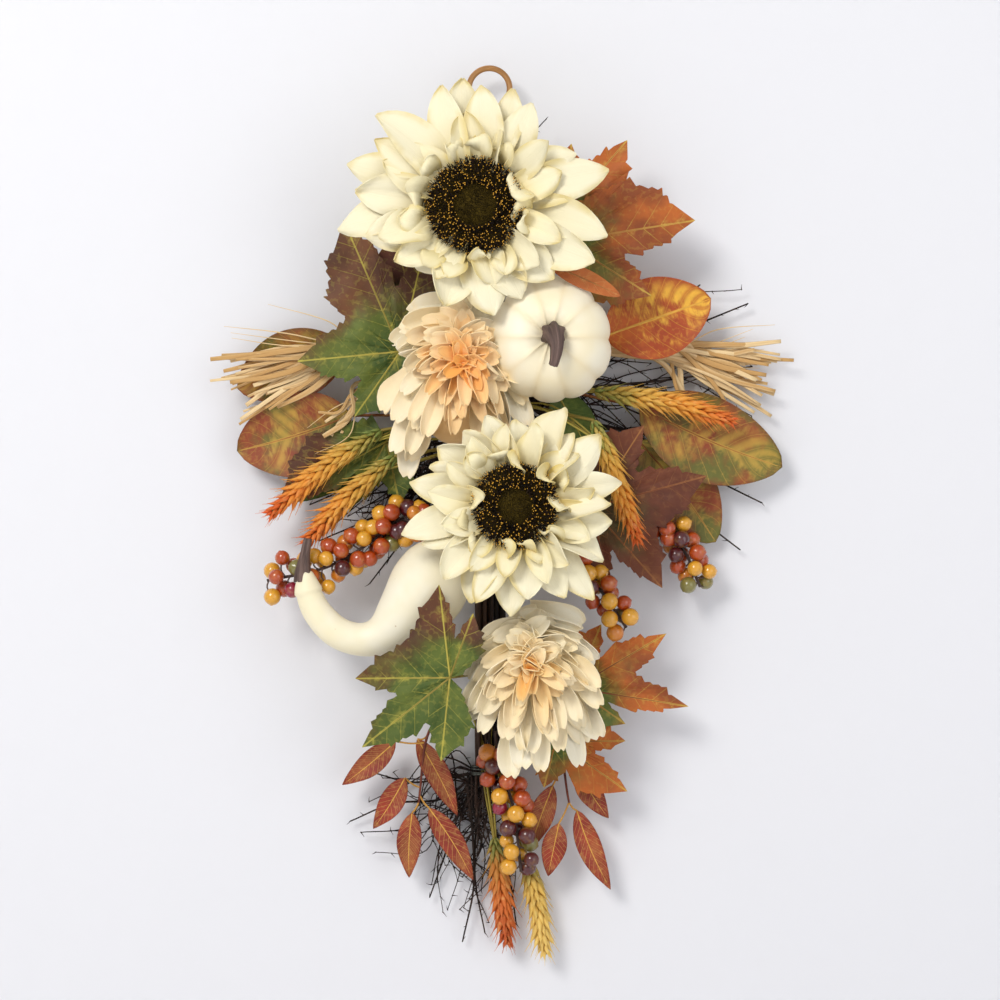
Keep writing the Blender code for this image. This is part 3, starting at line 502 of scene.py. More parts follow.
# %% Other finishes
def painted_skin(name, light, deep, groove_shade_colour):
    f = Finish(name, Specular_IOR_Level=0.45, Coat_Weight=0.08, Coat_Roughness=0.4)
    broad, fine = f.noise(22.0), f.noise(700.0)
    base = f.mix(broad.fade(0.35, 0.7), light, deep)
    # Painted shade: the groove colour darkens the skin down into each groove between the ribs.
    groove_shaded = f.mix(f.held("groove") * 0.4, base, groove_shade_colour)
    dimples = f.spots(75.0).fade(0.055, 0.02) * f.noise(9.0).fade(0.52, 0.6)
    marked = f.mix(dimples * 0.7, groove_shaded, "#B8924E")
    return f.finish(marked, 0.46 + 0.14 * broad, fine * 0.5 + broad, 0.25, 0.6 * MM)


def streaked(name, light, dark, stretch, roughness=0.7, strength=0.5):
    """Streaks that run along a stem."""
    f = Finish(name, Specular_IOR_Level=0.35)
    streak = f.noise(1.0, 5.0, f.stretched(stretch))
    speck = f.noise(350.0)
    tone = (streak + 0.5 * (f.held("tone") - 0.5)).fade(0.3, 0.7)
    return f.finish(f.mix(tone, dark, light), roughness + 0.2 * (speck - 0.5), streak + 0.4 * speck, strength)


def plain_stem(name, light, dark, roughness=0.6, metal=0.0, specular=0.4):
    """For solids that have no UV map: the pattern sits in the object's own space."""
    f = Finish(name, Metallic=metal, Specular_IOR_Level=specular)
    streak = f.noise(60.0, 5.0, f.space((6.0, 6.0, 1.0)))
    colour = f.mix(streak.fade(0.3, 0.7), dark, light)
    return f.finish(colour, roughness + 0.2 * (streak - 0.5), streak, 0.4, 0.3 * MM)


# Yellow, orange, maroon, olive, amber and crimson.
BERRY_KINDS = (
    (0.0, "#DFA028"), (0.26, "#B04410"), (0.63, "#4E1216"), (0.80, "#80783A"), (0.87, "#D07C1C"), (0.95, "#901A34"),
)


def berry_finish():
    f = Finish("waxed berries", Coat_Weight=0.8, Coat_Roughness=0.08, Specular_IOR_Level=0.5)
    base = f.ramp(f.held("tone"), BERRY_KINDS, steps=True)
    speck = f.noise(900.0)
    bloom = f.noise(160.0, 2.0)
    worn = f.mix(bloom.fade(0.5, 0.75) * 0.2, base, "#E8B04C")
    specked = f.mix(speck.fade(0.62, 0.72) * 0.5, worn, "#3A1C12")
    return f.finish(specked, 0.2 + 0.25 * bloom, speck, 0.3, 0.3 * MM)


def grain_finish(name, *hues):
    f = Finish(name, Specular_IOR_Level=0.35)
    fleck = f.noise(300.0)
    colour = f.ramp(f.held("tone") + 0.14 * (fleck - 0.5), hues)
    return f.finish(f.mix(fleck.fade(0.5, 0.8) * 0.4, colour, "#F2D98C"), 0.6, fleck, 0.4, 0.3 * MM)


# The last colour of each skin is painted shade for its grooves.
PUMPKIN_SKIN = painted_skin("painted pumpkin", "#FBF3DA", "#F8EAC4", "#EED6A0")
GOURD_SKIN = painted_skin("painted gourd", "#F9F2DA", "#F4E9C4", "#E4D6A8")
DRY_STEM = streaked("dry stem", "#7C655C", "#43342F", (7.0, 1.0, 1.0))
BERRY = berry_finish()
EAR = grain_finish("wheat, green to red", (0.0, "#7A8840"), (0.22, "#D6A848"), (0.6, "#E69A3A"), (0.98, "#DA5C24"))
RUSTY_EAR = grain_finish("wheat, rust", (0.0, "#6E7C3A"), (0.2, "#C08036"), (0.5, "#D4702E"), (0.95, "#BE5222"))
GOLD_EAR = grain_finish("wheat, gold", (0.0, "#8C8E48"), (0.25, "#D8B054"), (0.6, "#E8C266"), (0.95, "#ECC870"))
STRAW = streaked("raffia", "#ECCF9C", "#C69A5E", (5.0, 1.4, 1.0), 0.62, 0.6)
BARK = streaked("twig bark", "#4A362A", "#19110E", (5.0, 6.0, 1.0), 0.78, 0.7)
RING_WOOD = streaked("turned ring wood", "#BC8B56", "#8E602F", (4.0, 3.0, 1.0), 0.5, 0.3)
RED_STEM = streaked("willow stem", "#8E4630", "#5A2A20", (4.0, 6.0, 1.0), 0.55)
VEIN = streaked("leaf rib", "#B9A94A", "#8C7A34", (3.0, 8.0, 1.0), 0.55, 0.3)
GOLD_VEIN = streaked("gold leaf rib", "#E6B552", "#BC8438", (3.0, 8.0, 1.0), 0.5, 0.3)
RUST_VEIN = streaked("rusty leaf rib", "#B07A3A", "#7C4224", (3.0, 8.0, 1.0), 0.55, 0.3)
STEM_PAINT = plain_stem("green stem", "#5C7036", "#38481F")
CUP_GREEN = plain_stem("moulded green cup", "#6C7E3C", "#4C5F2A", 0.5)
PICK_WOOD = plain_stem("pick", "#6E5A48", "#43342A")
TWIG_BARK = plain_stem("dark twig bark", "#3E2E26", "#17100D", 0.8, 0.0, 0.3)
WIRE = plain_stem("binding wire", "#6C6E66", "#3E4038", 0.42, 0.9)
print("stem, skin and straw finishes ready")
# %% [markdown]
# ## A petal
# A silk petal is cut flat, then heated and pressed into a cup. Here it is a grid swept along a
# bent line from its root to its tip. A profile sets its width, the cup lifts its sides, and fine
# pleats run along it. A sculpted mesh would look as good once, but this makes hundreds, each a
# little different, and a seeded generator gives the same petals each time.


# %% Petals
# Stations along a petal, and the share of its full width at each.
SUNFLOWER_SHAPE = ((0, 0.12, 0.3, 0.5, 0.68, 0.82, 0.93, 1), (0.45, 0.7, 0.95, 1.0, 0.91, 0.68, 0.38, 0.05))
DAHLIA_SHAPE = ((0, 0.2, 0.45, 0.66, 0.82, 0.93, 1), (0.36, 0.6, 0.9, 1.0, 0.9, 0.66, 0.34))


def even(vectors):
    return vectors / np.maximum(np.linalg.norm(vectors, axis=-1, keepdims=True), 1e-9)


def petal(skin, root, bend, tip, half_width, facing, shape, cup=0.0, curl=0.0, crease=0.0,
          notch=0.0, ruffle=0.0, twist=0.0, grid=(15, 11), **values):
    """A petal from root to tip by way of bend. Cup and crease lift its sides towards facing, curl its end."""
    v = np.linspace(0, 1, grid[0])[:, None]
    u = np.linspace(-1, 1, grid[1])[None, :]
    t = v - notch * (1 - np.abs(u) ** 1.2) * v**6 + notch * 0.4 * v**6
    t = np.clip(t, 0, 1)[..., None]
    spine = (1 - t) ** 2 * root + 2 * t * (1 - t) * bend + t**2 * tip
    tangent = even(2 * (1 - t) * (bend - root) + 2 * t * (tip - bend))
    side = even(np.cross(tangent, facing))
    up = np.cross(side, tangent)
    turn = (twist * v)[..., None]
    side, up = side * np.cos(turn) + up * np.sin(turn), up * np.cos(turn) - side * np.sin(turn)
    smooth = np.pad(np.interp(v[:, 0], *shape), 1, mode="edge")
    smooth = np.convolve(smooth, (0.2, 0.6, 0.2), mode="valid")
    smooth[-1] = shape[1][-1]
    width = half_width * smooth[:, None]
    tone = values.get("tone", 0)
    raised = cup * width * u**2 + crease * width * np.abs(u) + curl * half_width * np.clip(v - 0.55, 0, 1) ** 2 * 4
    raised = raised + ruffle * half_width * np.abs(u) ** 3 * np.sin(7 * v + 3 * u + tone * 20)
    raised = raised + 0.035 * half_width * np.cos(u * 4.5 * math.pi + 5 * tone) * np.sin(math.pi * v)
    points = spine + side * (width * u * (1 - 0.12 * abs(cup)))[..., None] + up * raised[..., None]
    skin.grid(points, **values)


print("petal profiles:", len(SUNFLOWER_SHAPE[0]), "and", len(DAHLIA_SHAPE[0]), "stations")

# %% [markdown]
# ## The sunflowers
# Each cream sunflower has an outer ring of broad pointed petals, a shorter ring over it, and
# small curled petals that stand round the disc. The outer tips are given as clock angles and
# reaches, since these set the outline. The rings over them are spaced by rule, with variation.


# %% Sunflower petals
# Degrees from the right, and millimetres from the disc's middle.
UPPER_TIPS = (
    (182, 81), (170, 70), (157, 78), (141, 69), (129, 78), (113, 73), (100, 76), (81, 70), (70, 72), (57, 68),
    (33, 66), (18, 81), (-6, 78), (-29, 76), (-46, 62), (-64, 60), (-84, 64), (-108, 60), (-133, 50), (-160, 66),
)
LOWER_TIPS = (
    (68, 64), (52, 54), (34, 63), (17, 63), (0, 55), (-16, 56), (-34, 60), (-47, 71), (-62, 60), (-77, 54),
    (-92, 64), (-107, 60), (-120, 62), (-140, 59), (-155, 58), (-169, 68), (168, 62), (151, 54), (137, 56),
    (118, 52), (102, 54), (85, 50),
)
SILK, INNER_PETALS, SEPALS = 0.45 * MM, 13, 9


def sunflower(part, tips, half_width, seed):
    """Petals round the disc solid of this part, in three rings."""
    middle, half = box_of(f"sunflower_{part}_disc")[2:]
    back = box_of(f"sunflower_{part}_petals")[1][1]
    centre, radius = middle * (1, 0, 1), half[0]
    vary = np.random.default_rng(seed).uniform
    skin = Skin()

    def one(angle, start, reach, depth, lift, width, cup, curl, layer, arch):
        out = spoke(angle)
        aside = np.array((-out[2], 0.0, out[0]))
        turn = aside * vary(-0.13, 0.13) * reach
        root = centre + out * start + FRONT * -depth
        tip = centre + out * reach + turn + FRONT * (-depth + lift)
        bend = (root + tip) / 2 - turn * 0.5 + FRONT * (0.5 * lift + arch)
        tilt = unit(FRONT + vary(-0.45, 0.45) * aside)
        petal(skin, root, bend, tip, width, tilt, SUNFLOWER_SHAPE, cup, curl, vary(-0.1, 0.42),
              ruffle=vary(0.1, 0.34), twist=vary(-0.6, 0.6), layer=layer, tone=vary())

    for number, (angle, reach) in enumerate(tips):
        under = number % 2
        one(math.radians(angle), 0.62 * radius, reach * MM, back + (0.4 - 2.6 * under) * MM,
            vary(2, 11) * MM + 2.0 * MM * (1 - under), half_width * vary(0.82, 1.06),
            vary(-0.12, 0.2), vary(-0.3, 0.22), 0.62 + 0.1 * vary(), 3.5 * MM)
    count = len(tips) * 3 // 5
    mean_reach = np.mean([reach for _, reach in tips]) * MM
    for number in range(count):
        angle = 2 * math.pi * (number + vary(-0.3, 0.3)) / count + 0.21
        reach = radius + (0.6 + vary(-0.16, 0.14)) * (mean_reach - radius)
        one(angle, 0.7 * radius, reach, back - 3.6 * MM, vary(6, 14) * MM, half_width * vary(0.66, 0.86),
            vary(0.0, 0.35), vary(-0.3, 0.25), 0.42, 2.4 * MM)
    for number in range(INNER_PETALS):
        angle = 2 * math.pi * (number + vary(-0.35, 0.35)) / INNER_PETALS
        inward = vary() < 0.45
        reach = radius * (vary(0.7, 0.92) if inward else vary(1.25, 1.55))
        lift = vary(9.5, 12) + (3.5 if inward else 0)
        one(angle, (1.05 if inward else 1.0) * radius, reach, back - 6.0 * MM, lift * MM,
            half_width * vary(0.5, 0.75), vary(-0.25, 0.15), -0.1 if inward else -0.25, 0.3, 3.5 * MM)
    show(skin.mesh(f"sunflower_{part}_silk", SILK), CREAM_PETAL, (f"sunflower_{part}_petals",))


sunflower("upper", UPPER_TIPS, 14.0 * MM, 11)
sunflower("lower", LOWER_TIPS, 11.5 * MM, 12)

# %% [markdown]
# ## Growing many from one
# Bristles, berries, grains and thorns repeat over a surface or along a line, which is what
# Geometry Nodes do best. A small class builds each tree with named inputs and sets them by
# their identifiers. Placing copies in a Python loop would be slower, and harder to change.


# %% Geometry Nodes helpers
class Tree:
    """A Geometry Nodes tree with named inputs, which ends in Realize Instances and Set Material."""

    def __init__(self, name, **sizes):
        self.group = bpy.data.node_groups.new(name, "GeometryNodeTree")
        face = self.group.interface
        face.new_socket("Geometry", in_out="INPUT", socket_type="NodeSocketGeometry")
        kinds = {float: "NodeSocketFloat", int: "NodeSocketInt", bpy.types.Object: "NodeSocketObject"}
        for key, value in sizes.items():
            made = face.new_socket(key, in_out="INPUT", socket_type=kinds.get(value, kinds.get(type(value))))
            if not isinstance(value, type):
                made.default_value = value
        face.new_socket("Material", in_out="INPUT", socket_type="NodeSocketMaterial")
        face.new_socket("Geometry", in_out="OUTPUT", socket_type="NodeSocketGeometry")
        self.given = self.group.nodes.new("NodeGroupInput")

    def node(self, kind, settings=None, inputs=None):
        made = self.group.nodes.new(kind)
        for key, value in (settings or {}).items():
            setattr(made, key, value)
        for key, value in (inputs or {}).items():
            self.plug(made.inputs[key], value)
        return made

    def plug(self, socket, value):
        if isinstance(value, str):
            value = self.given.outputs[value]
        if isinstance(value, bpy.types.Node):
            value = value.outputs[0]
        if isinstance(value, bpy.types.NodeSocket):
            self.group.links.new(value, socket)
        else:
            socket.default_value = value

    def named(self, name, kind="FLOAT"):
        """A value stored at the points."""
        made = self.node("GeometryNodeInputNamedAttribute", {"data_type": kind})
        made.inputs["Name"].default_value = name
        return made

    def strewn(self, density):
        """Points strewn over the faces of the given mesh."""
        inputs = {"Mesh": "Geometry", "Density": density, "Seed": "Seed"}
        return self.node("GeometryNodeDistributePointsOnFaces", None, inputs)

    def any_size(self, low, high, seed):
        return self.node("FunctionNodeRandomValue", None, {2: low, 3: high, "Seed": seed}).outputs[1]

    def any_way(self, reach):
        inputs = {0: (-reach,) * 3, 1: (reach,) * 3, "Seed": "Seed"}
        return self.node("FunctionNodeRandomValue", {"data_type": "FLOAT_VECTOR"}, inputs)

    def aimed(self, vector):
        return self.node("FunctionNodeAlignRotationToVector", {"axis": "Z"}, {"Vector": vector})

    def shape_of(self, given):
        return self.node("GeometryNodeObjectInfo", None, {"Object": given}).outputs["Geometry"]

    def stand(self, points, shape, **others):
        """A copy of the shape on each point."""
        return self.node("GeometryNodeInstanceOnPoints", None, {"Points": points, "Instance": shape, **others})

    def joined(self, *pieces):
        both = self.node("GeometryNodeJoinGeometry")
        for piece in pieces:
            self.plug(both.inputs[0], piece)
        return both

    def close(self, geometry):
        real = self.node("GeometryNodeRealizeInstances", None, {"Geometry": geometry})
        smooth = self.node("GeometryNodeSetShadeSmooth", None, {"Geometry": real})
        painted = self.node("GeometryNodeSetMaterial", None, {"Geometry": smooth, "Material": "Material"})
        self.plug(self.group.nodes.new("NodeGroupOutput").inputs[0], painted)
        return self

    def grow(self, obj, material, **sizes):
        """Runs the tree on this object, and leaves the result as its plain mesh."""
        grown = obj.modifiers.new(self.group.name, "NODES")
        grown.node_group = self.group
        ids = {s.name: s.identifier for s in self.group.interface.items_tree if s.in_out == "INPUT"}
        for key, value in {**sizes, "Material": material}.items():
            grown[ids[key]] = value
        return settle(obj)


print("growing helpers ready")

# %% [markdown]
# ## The discs
# A sunflower's disc is a felt heart inside a dense ring of black bristles, with grains of gold
# pollen at their tips. Points are scattered on a dome and a thin cone stands on each. A second
# scatter puts the grains a bristle's length above the dome, and marks them as gold.


# %% The bristle tree
def bristle_tree():
    """Cones on scattered points, and grains of gold pollen at their tips."""
    tree = Tree("bristles", Density=1.0, Length=0.004, Thickness=0.0004, Pollen=1.0, Grain=0.0004, Seed=1)
    feet = tree.strewn("Density")
    sizes = {"Vertices": 4, "Radius Top": 0.14 * MM, "Radius Bottom": "Thickness", "Depth": "Length"}
    cone = tree.node("GeometryNodeMeshCone", None, sizes)
    cones = tree.stand(feet, cone, Rotation=feet.outputs["Rotation"], Scale=tree.any_size(0.7, 1.15, "Seed"))
    turned = tree.node("GeometryNodeRotateInstances", None, {"Instances": cones, "Rotation": tree.any_way(0.3)})
    spots = tree.strewn("Pollen")
    height = {0: spots.outputs["Normal"], "Scale": "Length"}
    lift = tree.node("ShaderNodeVectorMath", {"operation": "SCALE"}, height)
    raised = tree.node("GeometryNodeSetPosition", None, {"Geometry": spots, "Offset": lift})
    grain = tree.node("GeometryNodeMeshIcoSphere", None, {"Radius": "Grain", "Subdivisions": 1})
    pollen = tree.stand(raised, grain, Scale=tree.any_size(0.5, 1.3, 3))
    marks = []
    for pieces, gold in ((turned, 0.0), (pollen, 1.0)):
        inputs = {"Geometry": pieces, "Value": gold}
        marks.append(tree.node("GeometryNodeStoreNamedAttribute", {"domain": "INSTANCE"}, inputs))
        marks[-1].inputs["Name"].default_value = "gold"
    return tree.close(tree.joined(*marks))


BRISTLES = bristle_tree()
print("the bristle tree has", len(BRISTLES.group.nodes), "nodes")


# %% The two discs
def lathe(middle, across, ahead, turn):
    """Points of a round shape that faces the room."""
    sides = middle[0] + across * np.sin(turn), middle[1] - ahead, middle[2] + across * np.cos(turn)
    return np.stack(np.broadcast_arrays(*sides), -1)


def bed_swell(share):
    return 0.72 * np.sqrt(np.clip(1 - ((share - 0.6) / 0.42) ** 2, 0.02, 1))


def mound(share):
    return 0.55 + 0.28 * np.cos(share * 2.6)


def heart_swell(share):
    return np.where(share < 0.52, mound(share), 0.5 * np.sqrt(np.clip(1.02 - share**2, 0, 1)))


def disc(part, seed):
    low, high, middle, half = box_of(f"sunflower_{part}_disc")
    middle[1] = high[1]
    depth = 2 * half[1]

    def dome(inner, outer, swell):
        share = np.linspace(inner, outer, 16)[:, None]
        skin = Skin()
        return skin, skin.grid(lathe(middle, half[0] * share, depth * swell(share), round_turn(48)), around=True)

    def tufts(kind, inner, outer, swell, material, seed, nodes=(), **sizes):
        bed = dome(inner, outer, swell)[0].mesh(f"sunflower_{part}_{kind}")
        BRISTLES.grow(bed, material, Density=1.6e6, Thickness=0.3 * MM, Seed=seed, **sizes)
        show(bed, material, nodes)

    tufts("bristles", 0.44, 0.89, bed_swell, BRISTLE, seed, (f"sunflower_{part}_disc",),
          Length=4.0 * MM, Pollen=3.6e5, Grain=0.33 * MM)
    heart, rings = dome(0.02, 1.0, heart_swell)
    heart.cap(rings[0], middle - (0, 0.83 * depth, 0), False)
    heart.cap(rings[-1], middle, True)
    show(heart.mesh(f"sunflower_{part}_heart"), FELT)
    tufts("fuzz", 0.03, 0.47, mound, FELT, seed + 5, Length=1.5 * MM, Pollen=0.0, Grain=0.3 * MM)


disc("upper", 21)
disc("lower", 22)

# %% [markdown]
# ## The dahlias
# A silk dahlia is a spiral of cupped petals, small and upright at its heart, and longer and
# flatter outside. A turn of 137.5 degrees between one petal and the next never lines two of
# them up, as in a real flower. Each petal reaches to the flower's oval outline, and the outer
# ones hang. A shallow bowl behind them closes the flower's back.


# %% Dahlias
def dahlia(part, material, heart_share, count, half_width, seed):
    """A flower inside its solid's box. Heart share is where its heart lies in that box."""
    low, high, middle, half = box_of(f"dahlia_{part}_petals")
    deep = high[1] - low[1]
    heart = np.array((low[0] + heart_share[0] * 2 * half[0], 0.0, high[2] - heart_share[1] * 2 * half[2]))
    offset = heart - middle * (1, 0, 1)
    vary = np.random.default_rng(seed).uniform
    skin = Skin()
    for number in range(count):
        share = (number + 0.5) / count
        out = spoke(number * GOLDEN + vary(-0.4, 0.4))
        # The distance from the heart to the oval outline, along this spoke.
        a = (out[0] / half[0]) ** 2 + (out[2] / half[2]) ** 2
        b = out[0] * offset[0] / half[0] ** 2 + out[2] * offset[2] / half[2] ** 2
        c = (offset[0] / half[0]) ** 2 + (offset[2] / half[2]) ** 2 - 1
        edge = (-b + math.sqrt(b * b - a * c)) / a
        reach = edge * (0.10 + 0.95 * share**0.8) * vary(0.86, 1.06)
        front = low[1] - 9 * MM + 0.85 * deep * share**1.6 + vary(-2.5, 2.5) * MM
        length = min(reach * 1.05 + 4 * MM, (19 + 15 * share**0.7 + 9 * max(0.0, -out[2])) * MM)
        hang = unit(out + np.array((0.0, 0.0, -0.9 * share)))
        root = heart + out * reach - hang * length + FRONT * -(front + (15 - 6 * share) * MM)
        tip = heart + out * reach + FRONT * -(front + vary(-2.5, 3.5) * MM)
        bend = (root + tip) / 2 + FRONT * (6.5 - share) * MM - out * 2.0 * MM * (1 - share)
        tilt = unit(FRONT + out * (0.9 * (1 - share) - 0.15) * -1 + vary(-0.6, 0.6, 3) * (1, 0, 1))
        petal(skin, root, bend, tip, half_width * (0.5 + 0.55 * share**0.6) * vary(0.8, 1.15), tilt,
              DAHLIA_SHAPE, cup=vary(0.3, 0.75) * (1.2 - 0.45 * share), curl=vary(-0.3, 0.6),
              crease=vary(-0.15, 0.35), notch=0.06, twist=vary(-0.4, 0.4), ruffle=vary(0.06, 0.28),
              grid=(13, 9), layer=share, tone=vary())
    share, turn = np.linspace(0.0, 1.0, 8)[:, None], round_turn(40)
    wide = 0.5 * np.cos(share * math.pi / 2 * 0.98)
    back = high[1] - 2 * MM - 0.55 * deep * np.sin(share * math.pi / 2)
    bowl = middle[0] + half[0] * wide * np.cos(turn), back, middle[2] + half[2] * wide * np.sin(turn)
    skin.grid(np.stack(np.broadcast_arrays(*bowl), -1), around=True, layer=0.3, tone=0.5)
    show(skin.mesh(f"dahlia_{part}_silk", SILK), material, (f"dahlia_{part}_petals",))


dahlia("upper", PEACH_PETAL, (0.55, 0.36), 112, 7.4 * MM, 31)
dahlia("lower", IVORY_PETAL, (0.48, 0.32), 108, 7.6 * MM, 32)

# %% [markdown]
# ## Backs of the flowers
# Behind its petals each silk flower has a moulded green cup with a few sepals, which holds it on
# the stem. It shows from the sides and from behind.


# %% Green cups
def calyx(node, reach, seed):
    """A cup and its sepals behind the petals of this node."""
    _, high, middle, _ = box_of(node)
    middle[1] = high[1] + 0.5 * MM
    deep = 5 * MM
    vary = np.random.default_rng(seed).uniform
    skin = Skin()
    for number in range(SEPALS):
        out = spoke(2 * math.pi * (number + vary(-0.2, 0.2)) / SEPALS)
        root = middle + out * 0.15 * reach - FRONT * deep
        tip = middle + out * reach * vary(0.85, 1.1) - FRONT * vary(0.5, 2.5) * MM
        bend = (root + tip) / 2 - FRONT * 1.5 * MM
        petal(skin, root, bend, tip, 0.24 * reach, -FRONT, SUNFLOWER_SHAPE, 0.2, 0.2, grid=(9, 7), tone=vary())
    depths = np.array((0.05, 0.25, 0.55, 0.85, 1.0))[:, None]
    path = middle - FRONT * (depths * (deep + 2 * MM))
    skin.tube(path, np.array((0.42, 0.4, 0.32, 0.2, 0.12)) * reach, 20, tone=0.5)
    show(skin.mesh(node + "_cup", 0.4 * MM), CUP_GREEN)


calyx("sunflower_upper_disc", 27 * MM, 35)
calyx("sunflower_lower_disc", 22 * MM, 36)
calyx("dahlia_upper_petals", 20 * MM, 37)
calyx("dahlia_lower_petals", 20 * MM, 38)

# %% [markdown]
# ## The pumpkin
# The small white pumpkin is carved foam with ten soft ribs, and it faces the room. Its skin is a
# grid of rings from a dimple at the front, where the stem sits, to another at the back. A lathe
# with a displaced profile would also do. The grooves store their depth, and the finish uses it
# to paint shade into them.


# %% Pumpkin and its stem
def stem(name, path, width, nodes, ribs):
    """A dry stem with ribs along it."""
    skin = Skin()
    sides = ribs * 6
    skin.tube(path, width, sides, tone=0.5)
    obj = skin.mesh(name)
    points = np.array([v.co for v in obj.data.vertices])
    rings = len(path) * sides
    turn = np.tile(round_turn(sides)[0], len(path))
    centres = np.repeat(path, sides, axis=0)
    push = 1 + 0.14 * np.cos(ribs * turn + np.repeat(np.linspace(0, 1.4, len(path)), sides))
    points[:rings] = centres + (points[:rings] - centres) * push[:, None]
    obj.data.vertices.foreach_set("co", points.astype(np.float32).ravel())
    show(obj, DRY_STEM, nodes)


def pumpkin():
    low, _, middle, half = box_of("pumpkin_body")
    radius, deep = half[2], half[1] / math.cos(0.08 * math.pi)
    angle = np.linspace(0.012 * math.pi, 0.988 * math.pi, 56)[:, None]
    turn = round_turn(160)
    lobe = 1 - np.abs(np.cos(5 * turn + 0.35 * np.sin(2 * turn)))
    out = np.sin(angle) ** 0.8
    across = radius * out - (2.2 * lobe**1.7 - 0.7 * np.sin(3 * turn + 1)) * np.sin(angle) * MM
    dimple = 8.0 * np.exp(-((out * radius / (9.5 * MM)) ** 2)) * np.sign(np.cos(angle))
    points = lathe(middle, across, deep * np.cos(angle) - (dimple - 1.6 * lobe**2 * np.cos(angle)) * MM, turn)
    skin = Skin()
    # Painted shade: this value sets how far the groove colour darkens each groove.
    index = skin.grid(points, around=True, groove=lobe**2 * np.sin(angle) ** 0.3)
    skin.cap(index[0], points[0].mean(0), False)
    skin.cap(index[-1], points[-1].mean(0), True)
    show(skin.mesh("pumpkin_skin"), PUMPKIN_SKIN, ("pumpkin_body",))
    root = np.array((middle[0] + 2 * MM, low[1] + 6 * MM, middle[2] + 2 * MM))
    steps = (0, 0, 0), (0.2, -5, 0), (0.6, -11, -1.5), (1.6, -15.5, -8), (0.6, -15, -15.5), (-0.5, -14, -19)
    path = smooth_path(root + np.array(steps) * MM, 6)
    stem("pumpkin_stalk", path, spread((7.4, 6.4, 5.0, 3.6, 2.7, 2.4), 6) * MM, ("pumpkin_stem",), 6)


pumpkin()

# %% [markdown]
# ## The swan-neck gourd
# The gourd's bulb sits under the lower sunflower. Its neck runs down, round and up to a dry
# stem. Its spine is one smooth path with a radius at each point, which gives a rounder form
# than joined spheres would.


# %% Gourd
GOURD_SPINE = (
    (-10.8, 51.6), (-13.5, 53.6), (-16.5, 55.6), (-21, 58.3), (-28, 61), (-35, 62.9), (-42, 63.4), (-49.5, 62.6),
    (-55.5, 60.6), (-58.6, 58.4), (-59.8, 56.0),
)
# The radius at each place, as a share of the bulb's.
GOURD_SIZES = (0.1, 0.62, 0.9, 1.0, 0.74, 0.47, 0.395, 0.385, 0.355, 0.32, 0.22)


def gourd():
    middle, half = box_of("gourd_body")[2:]
    path = smooth_path([place(*point, middle[1] / MM) for point in GOURD_SPINE], 9)
    radii = np.pad(spread(GOURD_SIZES, 9) * half[1], 4, mode="edge")
    radii = np.convolve(radii, np.ones(9) / 9, mode="valid")
    radii[-9:] *= np.sqrt(np.clip(1 - (np.arange(1, 10) / 11.0) ** 2, 0.1, 1)) * 1.15
    skin = Skin()
    # The gourd has no grooves, so it gets no painted groove shade.
    skin.tube(path, radii, 56, groove=0.0)
    show(skin.mesh("gourd_skin"), GOURD_SKIN, ("gourd_body",))
    low, _, middle, _ = box_of("gourd_stem")
    foot = np.array((middle[0] - 1.2 * MM, middle[1], low[2] - 3 * MM))
    steps = (0, 0, 0), (-0.4, 0, 5), (0, 0, 11), (0.8, 0, 17), (2.4, 0, 25.4)
    path = smooth_path(foot + np.array(steps) * MM, 5)
    stem("gourd_stalk", path, spread((5.6, 4.6, 3.5, 2.7, 2.3), 5) * MM, ("gourd_stem",), 5)


gourd()

# %% [markdown]
# ## Scattering one shape
# Berries, wheat grains and thorns are one small shape repeated many times. The tree below puts
# a template on each point of a bare mesh, turned to the point's own direction and scaled by its
# own size. Values at the points, such as a berry's colour, travel with the copies.


# %% The scatter tree and its templates
def scatter_tree():
    tree = Tree("scatter", Template=bpy.types.Object, Size=1.0)
    scaled = tree.node("ShaderNodeMath", {"operation": "MULTIPLY"}, {0: tree.named("size"), 1: "Size"})
    turned = tree.aimed(tree.named("lean", "FLOAT_VECTOR"))
    return tree.close(tree.stand("Geometry", tree.shape_of("Template"), Rotation=turned, Scale=scaled))


SCATTER = scatter_tree()


def template(name, profile, sides, bend=0.0):
    """A turned shape along z, from (radius, height) pairs."""
    skin = Skin()
    path = [(bend * (height / profile[-1][1]) ** 2, 0, height) for _, height in profile]
    skin.tube(np.array(path) * MM, np.array([radius for radius, _ in profile]) * MM, sides)
    obj = skin.mesh(name)
    obj.data.attributes.remove(obj.data.attributes["UVMap"])
    return obj


class Crop:
    """Places, directions, sizes and tones for many copies of one shape."""

    def __init__(self):
        self.rows = []

    def add(self, *row):
        self.rows.append(row)

    def grow(self, name, shape, material):
        points, lean, size, tone = zip(*self.rows)
        return SCATTER.grow(bare(name, points, lean=lean, size=size, tone=tone), material, Template=shape, Size=1.0)


ball = [(math.sin(a), -math.cos(a)) for a in np.linspace(0.15, math.pi - 0.22, 10)]
BALL = template("ball", [*ball, (0.12, 1.06)], 14)
GRAIN_PROFILE = (0.5, -0.5), (1.3, 1.4), (1.75, 3.6), (1.35, 6.0), (0.55, 8.2), (0.2, 9.6), (0.1, 15.0)
GRAIN = template("grain", GRAIN_PROFILE, 5, 1.1)
THORN = template("thorn", ((0.45, -0.4), (0.25, 1.6), (0.08, 3.6)), 3, 0.6)
print("templates have", [len(shape.data.polygons) for shape in (BALL, GRAIN, THORN)], "faces")

# %% [markdown]
# ## Berries
# Waxed berries in yellow, orange, maroon and olive wind round each wired stem. A golden turn
# spreads them evenly, and random steps keep them from looking counted. Each has a short stalk.


